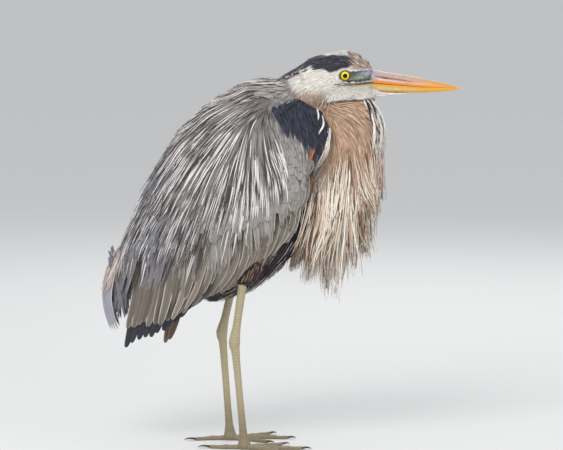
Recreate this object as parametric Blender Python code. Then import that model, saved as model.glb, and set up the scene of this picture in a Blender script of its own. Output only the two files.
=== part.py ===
"""Great blue heron standing hunched, life size, as separate solids for each named part of the body.

Metres, +Z up. The bird faces +X, its right side is -Y, and its soles stand on the floor at Z = 0.
The origin is on the floor under the middle of the bounding box.
Each body part is a loft between an upper and a lower profile line, or a slab between two curved sheets.
"""

import math
from collections import namedtuple

import bmesh
import bpy
from mathutils import Vector

# ---- driving dimensions ----
GAP = 0.0003  # clearance between neighbouring solids
BODY_HALF_WIDTH = 0.080  # trunk, under the wings
NECK_HALF_WIDTH = 0.052  # folded neck, seen from the front
HEAD_HALF_WIDTH = 0.022  # at the eyes
BILL_LENGTH = 0.1414  # exposed culmen
BILL_HALF_WIDTH = 0.0125
EYE_RADIUS = 0.0085
EYE_PLACE = (0.1024, 0.5955)  # X and Z of the eyeball's centre
EYE_SINK = 0.0058  # from the cheek's surface in to the eyeball's centre
STANCE = 0.046  # from the middle plane to each foot
SHANK_RADIUS = 0.0062
TARSUS_RADIUS = 0.0055
TOE_RADIUS = 0.0042
WING_THICKNESS = 0.009
WING_REST = 0.0024  # between the flank and the folded wing, so that flat facets stay clear
FLIGHT_THICKNESS = 0.0055
TAIL_HALF_WIDTH = 0.032
TAIL_THICKNESS = 0.006

# ---- mesh fineness ----
RING = 22  # points round a body ring
LIMB_RING = 8  # points round a leg, toe or claw

SIDES = (("right", -1), ("left", 1))

# A ring of the body: profile points as (X, Z), half width, and where between them it is widest (0 to 1).
Ring = namedtuple("Ring", "top bottom half_width widest")

# The trunk from the breast to the root of the tail. Each ring leans with the body's axis.
TRUNK = [
    Ring((0.048, 0.524), (0.064, 0.450), 0.032, 0.50),
    Ring((0.032, 0.568), (0.074, 0.418), 0.0475, 0.50),
    Ring((0.006, 0.593), (0.078, 0.388), 0.056, 0.48),
    Ring((-0.055, 0.588), (0.066, 0.352), 0.073, 0.46),
    Ring((-0.119, 0.549), (0.042, 0.315), BODY_HALF_WIDTH, 0.45),
    Ring((-0.166, 0.503), (0.004, 0.284), BODY_HALF_WIDTH, 0.44),
    Ring((-0.199, 0.448), (-0.046, 0.247), 0.073, 0.43),
    Ring((-0.225, 0.396), (-0.105, 0.230), 0.059, 0.43),
    Ring((-0.243, 0.352), (-0.165, 0.250), 0.043, 0.45),
    Ring((-0.254, 0.325), (-0.205, 0.278), 0.029, 0.50),
    Ring((-0.256, 0.312), (-0.224, 0.290), 0.013, 0.50),
]

# The folded lower neck, from under the chin down to the breast. Here top is the front and bottom the back.
LOWER_NECK = [
    Ring((0.124, 0.5690), (0.088, 0.568), 0.012, 0.5),
    Ring((0.148, 0.5585), (0.068, 0.560), 0.60 * NECK_HALF_WIDTH, 0.5),
    Ring((0.161, 0.5380), (0.054, 0.540), 0.80 * NECK_HALF_WIDTH, 0.55),
    Ring((0.1665, 0.512), (0.044, 0.508), 0.92 * NECK_HALF_WIDTH, 0.6),
    Ring((0.1655, 0.480), (0.032, 0.468), 0.98 * NECK_HALF_WIDTH, 0.62),
    Ring((0.1630, 0.450), (0.020, 0.424), NECK_HALF_WIDTH, 0.62),
]

# From the bill's root back over the crown and cheeks to the nape.
HEAD = [
    Ring((0.2010, 0.5676), (0.2010, 0.5660), 0.0022, 0.5),
    Ring((0.1850, 0.5700), (0.1850, 0.5632), 0.0052, 0.5),
    Ring((0.1620, 0.5740), (0.1620, 0.5610), 0.0084, 0.6),
    Ring((0.1500, 0.6030), (0.1500, 0.5602), 0.0125, 0.55),
    Ring((0.1440, 0.6125), (0.1430, 0.5597), 0.0150, 0.55),
    Ring((0.1370, 0.6200), (0.1330, 0.5593), 0.0172, 0.55),
    Ring((0.1240, 0.6262), (0.1210, 0.5589), 0.0195, 0.55),
    Ring((0.1050, 0.6318), (0.1030, 0.5583), HEAD_HALF_WIDTH, 0.55),
    Ring((0.0840, 0.6318), (0.0850, 0.5560), 0.0240, 0.58),
    Ring((0.0600, 0.6270), (0.0650, 0.5510), 0.0268, 0.60),
    Ring((0.0410, 0.6195), (0.0560, 0.5430), 0.0292, 0.60),
]

# From the nape down and back into the shoulders.
UPPER_NECK = [
    Ring((0.0405, 0.6193), (0.0556, 0.5428), 0.0292, 0.60),
    Ring((0.0240, 0.6085), (0.0480, 0.5300), 0.0330, 0.60),
    Ring((0.0040, 0.5970), (0.0380, 0.5150), 0.0370, 0.60),
    Ring((-0.0300, 0.5750), (0.0100, 0.4950), 0.0380, 0.60),
]

# The wing as folded over the flank. Depths are measured from the back's ridge along the ring's line:
# where the wing starts, where the coverts end and the quills begin to show, and the lower edge.
Fold = namedtuple("Fold", "top bottom half_width start split low")
WING = [
    Fold((0.038, 0.600), (0.124, 0.424), 0.0500, 0.066, 0.086, 0.086),
    Fold((0.030, 0.598), (0.118, 0.412), 0.0560, 0.052, 0.112, 0.112),
    Fold((0.008, 0.597), (0.107, 0.384), 0.0630, 0.034, 0.137, 0.139),
    Fold((-0.055, 0.588), (0.086, 0.356), 0.0760, 0.028, 0.176, 0.195),
    Fold((-0.119, 0.549), (0.050, 0.322), 0.0800, 0.028, 0.192, 0.236),
    Fold((-0.166, 0.503), (0.004, 0.284), 0.0800, 0.028, 0.176, 0.236),
    Fold((-0.199, 0.448), (-0.046, 0.247), 0.0740, 0.026, 0.142, 0.209),
    Fold((-0.225, 0.396), (-0.105, 0.230), 0.0620, 0.022, 0.104, 0.182),
    Fold((-0.243, 0.352), (-0.165, 0.250), 0.0480, 0.016, 0.062, 0.158),
    Fold((-0.251, 0.318), (-0.182, 0.228), 0.0390, 0.008, 0.016, 0.136),
    Fold((-0.254, 0.268), (-0.194, 0.188), 0.0330, 0.003, 0.003, 0.100),
    Fold((-0.254, 0.212), (-0.218, 0.164), 0.0290, 0.002, 0.002, 0.056),
    Fold((-0.252, 0.166), (-0.240, 0.150), 0.0260, 0.001, 0.001, 0.012),
]
LAST_COVERT_FOLD = 9  # the covert slab ends here, and quills alone go on to the wing tip
FIRST_QUILL_FOLD = 3
HANG = 3.6  # how squarely the wing hangs below its widest line (2 is an ellipse)

# The tail's ridge from its root to its end, as (X, Z, half width).
TAIL_RIDGE = [
    (-0.2470, 0.3330, 0.50 * TAIL_HALF_WIDTH),
    (-0.2640, 0.3130, 0.70 * TAIL_HALF_WIDTH),
    (-0.2790, 0.2800, 0.85 * TAIL_HALF_WIDTH),
    (-0.2860, 0.2440, 0.95 * TAIL_HALF_WIDTH),
    (-0.2830, 0.2150, TAIL_HALF_WIDTH),
    (-0.2740, 0.1870, 0.94 * TAIL_HALF_WIDTH),
]
TAIL_ARCH = 0.021  # how far the outer tail feathers droop forward of the ridge

# The bundle of plumes that hangs below the lower neck and lies round the breast.
# Top is the front and bottom the back.
PLUMES = [
    Ring((0.1628, 0.4496), (0.020, 0.4236), NECK_HALF_WIDTH, 0.62),
    Ring((0.1590, 0.4230), (0.030, 0.3850), NECK_HALF_WIDTH, 0.60),
    Ring((0.1490, 0.3950), (0.028, 0.3520), 0.95 * NECK_HALF_WIDTH, 0.56),
    Ring((0.1370, 0.3680), (0.026, 0.3260), 0.80 * NECK_HALF_WIDTH, 0.52),
    Ring((0.1200, 0.3460), (0.032, 0.3080), 0.55 * NECK_HALF_WIDTH, 0.50),
]

# Pointed locks that end the bundle: root and tip as (X, Y, Z), half depth at the root.
Lock = namedtuple("Lock", "root tip size")
LOCKS = [
    Lock((0.142, 0.010, 0.436), (0.1572, 0.012, 0.398), 0.016),
    Lock((0.136, -0.018, 0.430), (0.1500, -0.020, 0.372), 0.016),
    Lock((0.128, 0.012, 0.395), (0.1365, 0.012, 0.306), 0.015),
    Lock((0.112, -0.014, 0.380), (0.1155, -0.015, 0.286), 0.016),
    Lock((0.098, 0.004, 0.370), (0.0970, 0.006, 0.262), 0.015),
    Lock((0.084, -0.010, 0.360), (0.0880, -0.012, 0.242), 0.014),
    Lock((0.078, 0.016, 0.360), (0.0745, 0.020, 0.246), 0.013),
    Lock((0.080, -0.016, 0.345), (0.0460, -0.020, 0.274), 0.014),
    Lock((0.084, 0.014, 0.338), (0.0240, 0.018, 0.290), 0.013),
]
LOCK_WIDTH = 0.75  # of its depth

# Leg joints as (X, Z) for each side: thigh root, end of the feathers, ankle, foot.
Leg = namedtuple("Leg", "root garter ankle foot")
LEGS = {
    "right": Leg((-0.030, 0.325), (-0.0585, 0.268), (-0.0735, 0.172), (-0.058, 0.0080)),
    "left": Leg((-0.045, 0.325), (-0.0740, 0.264), (-0.0950, 0.176), (-0.082, 0.0080)),
}
HIP = 0.040  # from the middle plane to where the leg leaves the belly

# One wing is folded a little looser: how much lower the quills of each hang near their tips.
QUILL_DROOP = {"right": 0.0, "left": 0.045}
DROOP_PLACE, DROOP_REACH = -0.185, 0.035  # X of the middle of the droop, and how far it reaches

# Each toe: name, heading from straight ahead (outwards is positive), length without its claw, knuckles.
Toe = namedtuple("Toe", "name heading length knuckles")
TOES = [
    Toe("middle", 4, 0.090, 3),
    Toe("inner", -30, 0.066, 2),
    Toe("outer", 38, 0.078, 3),
    Toe("hind", 188, 0.052, 1),
]
CLAW_LENGTH = 0.015
HIND_CLAW_LENGTH = 0.021

# Principled colours, roughness: the plain finish of each kind of surface.
FINISHES = {
    "white_feather": ((0.72, 0.68, 0.61), 0.85),
    "slate_feather": ((0.30, 0.30, 0.31), 0.80),
    "quill_feather": ((0.16, 0.155, 0.16), 0.70),
    "buff_feather": ((0.47, 0.33, 0.22), 0.85),
    "black_feather": ((0.035, 0.032, 0.035), 0.80),
    "upper_horn": ((0.36, 0.20, 0.12), 0.40),
    "lower_horn": ((0.72, 0.42, 0.06), 0.40),
    "eye": ((0.85, 0.68, 0.05), 0.05),
    "leg_skin": ((0.33, 0.29, 0.21), 0.55),
    "claw_horn": ((0.06, 0.05, 0.045), 0.45),
}


def clear_scene():
    for obj in list(bpy.data.objects):
        bpy.data.objects.remove(obj)


def make_finish(name):
    colour, roughness = FINISHES[name]
    material = bpy.data.materials.new(name)
    material.use_nodes = True
    shader = material.node_tree.nodes["Principled BSDF"]
    shader.inputs["Base Color"].default_value = (*colour, 1)
    shader.inputs["Roughness"].default_value = roughness
    shader.inputs["Metallic"].default_value = 0
    return material


def add_object(name, mesh_builder, finish):
    """An object from a bmesh, in triangles, with outward faces and smooth shading."""
    bmesh.ops.recalc_face_normals(mesh_builder, faces=mesh_builder.faces)
    bmesh.ops.triangulate(mesh_builder, faces=mesh_builder.faces)
    mesh = bpy.data.meshes.new(name)
    mesh_builder.to_mesh(mesh)
    mesh_builder.free()
    mesh.shade_smooth()
    mesh.set_sharp_from_angle(angle=math.radians(40))
    mesh.materials.append(bpy.data.materials.get(finish) or make_finish(finish))
    obj = bpy.data.objects.new(name, mesh)
    bpy.context.scene.collection.objects.link(obj)
    return obj


def smooth_rows(rows, steps):
    """Rows of numbers, with more between them on a Catmull-Rom curve through them."""
    found = []
    for i in range(len(rows) - 1):
        before, a, b = rows[max(i - 1, 0)], rows[i], rows[i + 1]
        after = rows[min(i + 2, len(rows) - 1)]
        for k in range(steps):
            t = k / steps
            weights = (
                (-t + 2 * t * t - t**3) / 2,
                (2 - 5 * t * t + 3 * t**3) / 2,
                (t + 4 * t * t - 3 * t**3) / 2,
                (-t * t + t**3) / 2,
            )
            points = zip(before, a, b, after)
            found.append([sum(w * p for w, p in zip(weights, four)) for four in points])
    found.append(list(rows[-1]))
    return found


def smooth_rings(rings, steps):
    rows = [(*r.top, *r.bottom, r.half_width, r.widest) for r in rings]
    return [Ring((r[0], r[1]), (r[2], r[3]), r[4], r[5]) for r in smooth_rows(rows, steps)]


def ring_points(ring, count):
    """Points round a closed curve from the top profile point to the bottom one and back."""
    top = Vector((ring.top[0], 0, ring.top[1]))
    bottom = Vector((ring.bottom[0], 0, ring.bottom[1]))
    found = []
    for i in range(count):
        angle = 2 * math.pi * i / count
        depth = 0.5 - 0.5 * math.cos(angle)
        depth += 4 * (ring.widest - 0.5) * depth * (1 - depth)
        side = ring.half_width * math.sin(angle)
        found.append(top.lerp(bottom, depth) + Vector((0, side, 0)))
    return found


def skin_rings(builder, rings):
    """Quads between neighbouring rings of points, with flat ends."""
    rows = [[builder.verts.new(point) for point in ring] for ring in rings]
    for row, after in zip(rows, rows[1:]):
        for i in range(len(row)):
            j = (i + 1) % len(row)
            builder.faces.new((row[i], row[j], after[j], after[i]))
    builder.faces.new(rows[0])
    builder.faces.new(reversed(rows[-1]))
    return rows


def loft(name, rings, steps, finish, count=RING):
    builder = bmesh.new()
    skin_rings(builder, [ring_points(r, count) for r in smooth_rings(rings, steps)])
    return add_object(name, builder, finish)


def slab(name, outer, inner, finish):
    """A closed solid between two grids of points of the same size."""
    builder = bmesh.new()
    out = [[builder.verts.new(p) for p in row] for row in outer]
    back = [[builder.verts.new(p) for p in row] for row in inner]
    last_row, last = len(out) - 1, len(out[0]) - 1
    for grid in (out, back):
        for i in range(last_row):
            for j in range(last):
                builder.faces.new((grid[i][j], grid[i][j + 1], grid[i + 1][j + 1], grid[i + 1][j]))
    for i in range(last_row):
        for j in (0, last):
            builder.faces.new((out[i][j], out[i + 1][j], back[i + 1][j], back[i][j]))
    for j in range(last):
        for i in (0, last_row):
            builder.faces.new((out[i][j], out[i][j + 1], back[i][j + 1], back[i][j]))
    return add_object(name, builder, finish)


def grown_copy(obj):
    """A cutter: the finished shape of an object, larger all round by the gap."""
    bpy.context.view_layer.update()
    shape = obj.evaluated_get(bpy.context.evaluated_depsgraph_get())
    mesh = bpy.data.meshes.new_from_object(shape)
    builder = bmesh.new()
    builder.from_mesh(mesh)
    builder.normal_update()
    for vert in builder.verts:
        vert.co += vert.normal * GAP * min(vert.calc_shell_factor(), 2)
    builder.to_mesh(mesh)
    builder.free()
    cutter = bpy.data.objects.new("cutter_" + obj.name, mesh)
    cutter.matrix_world = obj.matrix_world
    cutter.hide_render = True
    cutter.display_type = "WIRE"
    bpy.context.scene.collection.objects.link(cutter)
    return cutter


def cut_by(obj, *others):
    """Takes the space of the other solids, and the gap round them, out of obj."""
    for other in others:
        cutter = bpy.data.objects.get("cutter_" + other.name) or grown_copy(other)
        cut = obj.modifiers.new("clear_of_" + other.name, "BOOLEAN")
        cut.operation = "DIFFERENCE"
        cut.solver = "EXACT"
        cut.object = cutter


def build_head():
    head = loft("head", HEAD, 1, "white_feather", count=20)
    upper = build_bill("upper_bill", "upper_horn", UPPER_BILL)
    lower = build_bill("lower_bill", "lower_horn", LOWER_BILL)
    cut_by(head, upper, lower)
    for side, sign in SIDES:
        cut_by(head, build_eye("eye_" + side, sign))
    return head


# Bill profiles from the root to the tip as shares of the bill's length, with heights and half widths.
Horn = namedtuple("Horn", "along top bottom half_width")
BILL_ROOT_X = 0.1480
UPPER_BILL = [
    Horn(-0.06, 0.6000, 0.5835, 0.92),
    Horn(0.00, 0.6035, 0.5828, 1.00),
    Horn(0.14, 0.6000, 0.5810, 0.88),
    Horn(0.31, 0.5964, 0.5790, 0.75),
    Horn(0.53, 0.5906, 0.5765, 0.57),
    Horn(0.76, 0.5838, 0.5751, 0.38),
    Horn(0.90, 0.5787, 0.5744, 0.23),
    Horn(0.97, 0.5757, 0.5739, 0.12),
    Horn(1.00, 0.5742, 0.5735, 0.04),
]
LOWER_BILL = [
    Horn(-0.06, 0.5830, 0.5690, 0.80),
    Horn(0.00, 0.5824, 0.5676, 0.88),
    Horn(0.14, 0.5806, 0.5674, 0.80),
    Horn(0.31, 0.5786, 0.5672, 0.69),
    Horn(0.53, 0.5761, 0.5670, 0.51),
    Horn(0.76, 0.5747, 0.5690, 0.34),
    Horn(0.90, 0.5740, 0.5713, 0.20),
    Horn(0.975, 0.5734, 0.5728, 0.06),
]


def build_bill(name, finish, horns):
    rings = [
        Ring(
            (BILL_ROOT_X + h.along * BILL_LENGTH, h.top),
            (BILL_ROOT_X + h.along * BILL_LENGTH, h.bottom),
            h.half_width * BILL_HALF_WIDTH,
            0.72 if name == "upper_bill" else 0.30,
        )
        for h in horns
    ]
    return loft(name, rings, 1, finish, count=12)


def build_eye(name, sign):
    builder = bmesh.new()
    bmesh.ops.create_uvsphere(builder, u_segments=14, v_segments=8, radius=EYE_RADIUS)
    eye = add_object(name, builder, "eye")
    eye.rotation_euler = (math.radians(90), 0, 0)
    side = sign * (HEAD_HALF_WIDTH - EYE_SINK)
    eye.location = (EYE_PLACE[0], side, EYE_PLACE[1])
    return eye


def fold_rows(first, last, steps):
    rows = [(*f.top, *f.bottom, f.half_width, f.start, f.split, f.low) for f in WING[first : last + 1]]
    smooth = smooth_rows(rows, steps)
    return [Fold((r[0], r[1]), (r[2], r[3]), r[4], r[5], r[6], r[7]) for r in smooth]


def fold_point(fold, depth, sign, lift):
    """The place on the folded wing's sheet at a depth below the ridge, pushed out sideways by lift."""
    top, bottom = Vector(fold.top), Vector(fold.bottom)
    length = (bottom - top).length
    place = top + (bottom - top) * (depth / length)
    widest = 0.46 * length
    if depth < widest:
        share = math.sqrt(max(1 - ((widest - depth) / widest) ** 2, 0))
    else:
        below = min((depth - widest) / (max(1.10 * length, 1.30 * fold.low) - widest), 0.98)
        share = (1 - below**HANG) ** (1 / HANG)
    return Vector((place.x, sign * (fold.half_width * share + lift), place.y))


def build_wing_slab(name, sign, folds, depths, columns, thickness, finish):
    """A slab over the flank. depths gives a fold's first and last depth; thickness(u, v) its swell."""
    outer, inner = [], []
    for i, fold in enumerate(folds):
        first, last = depths(fold)
        u = i / (len(folds) - 1)
        outer.append([])
        inner.append([])
        for j in range(columns + 1):
            v = j / columns
            depth = first + (last - first) * v
            outer[-1].append(fold_point(fold, depth, sign, WING_REST + thickness(u, v)))
            inner[-1].append(fold_point(fold, depth, sign, WING_REST))
    return slab(name, outer, inner, finish)


def covert_swell(u, v):
    """Thin at the upper edge, full over the wing, rounded off at its front and lower edges."""
    front = min(1, 0.25 + 5 * u)
    return WING_THICKNESS * front * (0.24 + 0.76 * math.sin(math.pi * min(v * 0.62 + 0.02, 0.5)))


def quill_swell(u, v):
    """Full under the coverts, thin at the wing's lower edge and tip."""
    return FLIGHT_THICKNESS * (1 - 0.72 * v**2) * (1 - 0.55 * u**3)


def build_wing(side, sign, trunk):
    def covert_depths(fold):
        return fold.start, fold.split

    def quill_depths(fold):
        away = abs(fold.bottom[0] - DROOP_PLACE) / DROOP_REACH
        droop = QUILL_DROOP[side] * max(1 - away, 0)
        return fold.split + 2 * GAP, max(fold.low + droop, fold.split + 0.004)

    coverts = fold_rows(0, LAST_COVERT_FOLD, 1)
    wing = build_wing_slab("wing_" + side, sign, coverts, covert_depths, 9, covert_swell, "slate_feather")
    cut_by(wing, trunk)
    quills = fold_rows(FIRST_QUILL_FOLD, len(WING) - 1, 1)
    build_wing_slab("flight_" + side, sign, quills, quill_depths, 6, quill_swell, "quill_feather")


def build_tail():
    """An arched fan. Its outer feathers droop forward, and its end is a little rounded."""
    columns = 10
    outer, inner = [], []
    rows = smooth_rows(TAIL_RIDGE, 1)
    for i, (x, z, half_width) in enumerate(rows):
        u = i / (len(rows) - 1)
        thick = TAIL_THICKNESS * (1 - 0.7 * u)
        outer.append([])
        inner.append([])
        for j in range(columns + 1):
            v = 2 * j / columns - 1
            droop = TAIL_ARCH * (0.35 + 0.65 * u) * v * v
            rise = 0.010 * u * v**4
            outer[-1].append(Vector((x + droop, half_width * v, z + rise - 0.2 * droop)))
            inner[-1].append(Vector((x + droop + thick, half_width * v * 0.97, z + rise - 0.2 * droop)))
    return slab("tail", outer, inner, "slate_feather")


def build_lock(number, lock):
    """A tapering, slightly flattened strand with a blunt tip, made to be joined to the bundle."""
    root, tip = Vector(lock.root), Vector(lock.tip)
    rings = []
    for i in range(5):
        u = i / 4
        size = lock.size * (math.cos(0.5 * math.pi * u) ** 0.8 + 0.06)
        centre = root.lerp(tip, u)
        rings.append([])
        for k in range(LIMB_RING):
            angle = 2 * math.pi * k / LIMB_RING
            offset = Vector((math.cos(angle), LOCK_WIDTH * math.sin(angle), 0.15 * math.cos(angle)))
            rings[-1].append(centre + offset * size)
    builder = bmesh.new()
    skin_rings(builder, rings)
    strand = add_object(f"lock_{number}", builder, "buff_feather")
    strand.hide_render = True
    strand.display_type = "WIRE"
    return strand


def build_plumes():
    plumes = loft("breast_plumes", PLUMES, 1, "buff_feather")
    for number, lock in enumerate(LOCKS):
        union = plumes.modifiers.new(f"lock_{number}", "BOOLEAN")
        union.operation = "UNION"
        union.solver = "EXACT"
        union.object = build_lock(number, lock)
    return plumes


def limb(name, path, radii, finish, deep=1.0):
    """A round limb along points, with a radius at each. deep stretches it fore and aft."""
    rows = [(*p, r) for p, r in zip(path, radii)]
    smooth = smooth_rows(rows, 2)
    points = [Vector(r[:3]) for r in smooth]
    builder = bmesh.new()
    rings = []
    for i, point in enumerate(points):
        along = points[min(i + 1, len(points) - 1)] - points[max(i - 1, 0)]
        side = along.cross(Vector((1, 0, 0))).normalized()
        fore = side.cross(along).normalized()
        radius = smooth[i][3]
        rings.append([])
        for k in range(LIMB_RING):
            angle = 2 * math.pi * (k + 0.5) / LIMB_RING
            offset = side * math.cos(angle) + fore * math.sin(angle) * deep
            place = point + offset * radius
            # A limb that ends on the floor ends flat.
            rings[-1].append(Vector((place.x, place.y, max(place.z, 0) if point.z > 0 else 0)))
    skin_rings(builder, rings)
    return add_object(name, builder, finish)


def build_leg(side, sign, trunk):
    leg = LEGS[side]
    root = (leg.root[0], sign * HIP, leg.root[1])
    garter = (leg.garter[0], sign * (HIP + 0.003), leg.garter[1])
    ankle = (leg.ankle[0], sign * (STANCE - 0.001), leg.ankle[1])
    foot = (leg.foot[0], sign * STANCE, leg.foot[1])
    knee = [(a + b) / 2 for a, b in zip(root, garter)]
    hem = Vector(garter) + (Vector(garter) - Vector(knee)).normalized() * 0.004
    thigh = limb("thigh_" + side, [root, knee, hem], [0.021, 0.017, 0.0085], "buff_feather")
    cut_by(thigh, trunk)

    top, low = Vector(hem), Vector(ankle)
    down = (low - top).normalized()
    start = top + down * (GAP + 0.0002)
    path = [start, top.lerp(low, 0.35), top.lerp(low, 0.75), low, low + Vector((0.001, 0, -0.011))]
    radii = [1.05, 0.98, 1.0, 1.42, 1.12]
    radii = [r * SHANK_RADIUS for r in radii]
    shank = limb("shank_" + side, path, radii, "leg_skin", deep=1.08)
    cut_by(shank, thigh)

    start = path[-1] + Vector((0.0004, 0, -0.0006))
    end = Vector(foot)
    path = [start, start.lerp(end, 0.12), start.lerp(end, 0.5), start.lerp(end, 0.88), end]
    path.append(Vector((end.x, end.y, 0)))
    radii = [1.22, 1.02, 0.92, 1.05, 1.75, 1.40]
    tarsus = limb("tarsus_" + side, path, [r * TARSUS_RADIUS for r in radii], "leg_skin", deep=1.1)
    cut_by(tarsus, shank)
    built = [tarsus]
    for toe in TOES:
        built.append(build_toe(side, sign, toe, Vector((foot[0], foot[1], 0)), built))


def build_toe(side, sign, toe, foot, neighbours):
    """A jointed toe flat on the floor, swollen at its knuckles, and its curved claw."""
    turn = math.radians(toe.heading)
    ahead = Vector((math.cos(turn), sign * math.sin(turn), 0))
    across = Vector((-ahead.y, ahead.x, 0))
    parts = 3 * (toe.knuckles + 1)
    rings = []
    for i in range(parts + 1):
        u = i / parts
        knuckle = 0.5 + 0.5 * math.cos(2 * math.pi * u * (toe.knuckles + 1))
        radius = TOE_RADIUS * (1.12 - 0.36 * u) * (0.84 + 0.18 * knuckle)
        curl = 0.05 * toe.length * math.sin(math.pi * u) * (-sign if toe.heading > 20 else sign)
        middle = foot + ahead * (0.003 + toe.length * u) + across * curl
        middle.z = 0.80 * radius
        rings.append([])
        for k in range(LIMB_RING):
            angle = 2 * math.pi * (k + 0.5) / LIMB_RING
            place = middle + across * radius * math.cos(angle)
            place.z = max(middle.z + radius * math.sin(angle), 0)
            rings[-1].append(place)
    builder = bmesh.new()
    skin_rings(builder, rings)
    solid = add_object(f"toe_{side}_{toe.name}", builder, "leg_skin")
    cut_by(solid, *neighbours)
    build_claw(side, toe, rings[-1], ahead)
    return solid


def build_claw(side, toe, socket, ahead):
    """A tapering hook that leaves the toe's end and bends down to the floor."""
    length = HIND_CLAW_LENGTH if toe.name == "hind" else CLAW_LENGTH
    centre = sum(socket, Vector()) / len(socket)
    rings = []
    for i in range(5):
        u = i / 4
        size = 0.66 * (1 - u) ** 0.7 + 0.05
        reach = GAP + length * math.sin(u * 1.25) / math.sin(1.25)
        rise = 0.0016 * math.sin(math.pi * u) - (centre.z - 0.0008) * u**2
        rings.append([])
        for point in socket:
            place = centre + (point - centre) * size + ahead * reach
            place.z = max(place.z + rise, 0.0)
            rings[-1].append(place)
    builder = bmesh.new()
    skin_rings(builder, rings)
    add_object(f"claw_{side}_{toe.name}", builder, "claw_horn")


def main():
    clear_scene()
    trunk = loft("trunk", TRUNK, 1, "slate_feather")
    head = build_head()
    for side, sign in SIDES:
        build_wing(side, sign, trunk)
    upper_neck = loft("upper_neck", UPPER_NECK, 1, "white_feather", count=20)
    cut_by(upper_neck, trunk)
    lower_neck = loft("lower_neck", LOWER_NECK, 1, "buff_feather")
    wings = [bpy.data.objects["wing_" + side] for side, _ in SIDES]
    cut_by(lower_neck, trunk, upper_neck, head, *wings)
    cut_by(upper_neck, *wings)
    plumes = build_plumes()
    cut_by(plumes, trunk, *wings)
    tail = build_tail()
    cut_by(tail, trunk, *[bpy.data.objects["flight_" + side] for side, _ in SIDES])
    for side, sign in SIDES:
        build_leg(side, sign, trunk)


main()
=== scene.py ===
"""A great blue heron, life size: one skin, eyes, bill, legs and a full coat of feathers over its solids."""

import math

import bmesh
import bpy
import numpy as np
from bpy.props import FloatProperty, FloatVectorProperty, PointerProperty
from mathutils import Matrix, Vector
from mathutils.bvhtree import BVHTree
from mathutils.kdtree import KDTree
from numpy.random import default_rng


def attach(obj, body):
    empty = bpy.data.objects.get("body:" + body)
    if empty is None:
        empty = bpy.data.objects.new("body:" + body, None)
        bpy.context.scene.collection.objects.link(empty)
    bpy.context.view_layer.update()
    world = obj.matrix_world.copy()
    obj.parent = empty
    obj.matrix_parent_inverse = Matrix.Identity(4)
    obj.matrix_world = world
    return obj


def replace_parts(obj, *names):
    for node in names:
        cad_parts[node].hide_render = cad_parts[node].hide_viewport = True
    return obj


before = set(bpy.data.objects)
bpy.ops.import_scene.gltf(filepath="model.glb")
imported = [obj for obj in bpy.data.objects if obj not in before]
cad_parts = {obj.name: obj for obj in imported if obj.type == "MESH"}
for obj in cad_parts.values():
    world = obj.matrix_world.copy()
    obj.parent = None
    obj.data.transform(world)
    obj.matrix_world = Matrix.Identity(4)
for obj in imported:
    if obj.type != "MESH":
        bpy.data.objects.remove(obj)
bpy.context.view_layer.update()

bl_info = {
    "name": "Great blue heron",
    "version": (1, 0, 0),
    "blender": (4, 5, 0),
    "location": "3D View > Sidebar > Heron",
    "description": "Dresses the solids of a standing great blue heron",
    "category": "Object",
}

SIDES = (("right", -1), ("left", 1))
WHITE, BUFF, SLATE = "white_feather", "buff_feather", "slate_feather"  # slots of the coat
# How deep the coat of feathers is over each solid that the skin replaces.
COAT = {
    "head": 0.0024, "upper_neck": 0.0042, "lower_neck": 0.005, "breast_plumes": 0.004, "trunk": 0.006,
    "wing_right": 0.003, "wing_left": 0.003, "thigh_right": 0.0028, "thigh_left": 0.0028,
}
FLESH = tuple(COAT)


# ---- the bird's lines in side view, in metres: where one part of the coat gives way to the next ----

# How far forward the mantle, shoulder and wing reach, for each height.
WING_FRONT = (
    (0.283, 0.312, 0.335, 0.362, 0.392, 0.413, 0.4365, 0.461, 0.4835, 0.508, 0.52, 0.533, 0.548, 0.562,
     0.575, 0.587, 0.594, 0.598),
    (-0.0455, -0.0165, 0.0085, 0.0265, 0.0355, 0.0405, 0.0545, 0.0675, 0.078, 0.081, 0.0765, 0.0675, 0.0565,
     0.0475, 0.0395, 0.0295, 0.0175, -0.0005),
)
# How low the folded wing hangs, for each distance along the bird.
WING_LOW = (
    (-0.242, -0.198, -0.159, -0.145, -0.118, -0.074, -0.046, -0.017, 0.009, 0.027),
    (0.19, 0.195, 0.21, 0.226, 0.243, 0.272, 0.283, 0.312, 0.335, 0.362),
)
# The chin and throat, above the folded neck.
CHIN = ((0.045, 0.0636, 0.0786, 0.0946, 0.1106, 0.1426), (0.548, 0.5515, 0.5536, 0.5575, 0.559, 0.558))
# The gape, from under the eye to the bill.
GAPE = ((0.0828, 0.0946, 0.1031, 0.1319, 0.1426), (0.5803, 0.5819, 0.5824, 0.5835, 0.5845))
# The lower edge of the black stripe on the side of the crown, and its upper edge.
STRIPE_LOW = (
    (0.0, 0.01, 0.028, 0.036, 0.05, 0.064, 0.079, 0.089, 0.095, 0.105, 0.115, 0.118),
    (0.593, 0.5955, 0.604, 0.61, 0.6035, 0.606, 0.6, 0.6035, 0.607, 0.608, 0.614, 0.619),
)
STRIPE_TOP = ((0.06, 0.068, 0.089, 0.1, 0.1106, 0.116), (0.64, 0.6272, 0.6293, 0.6258, 0.62, 0.615))
# The black shoulder patch: its hind edge for each height.
SHOULDER_HIND = (
    (0.4365, 0.461, 0.479, 0.4845, 0.5, 0.508, 0.525, 0.537, 0.547, 0.556, 0.565),
    (0.0535, 0.0535, 0.0455, 0.0375, 0.0265, 0.0035, -0.0055, -0.0145, -0.0165, 0.0165, 0.0375),
)


def line(table, at):
    """The value of a side-view line at a height or distance."""
    return np.interp(at, table[0], table[1])


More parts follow.
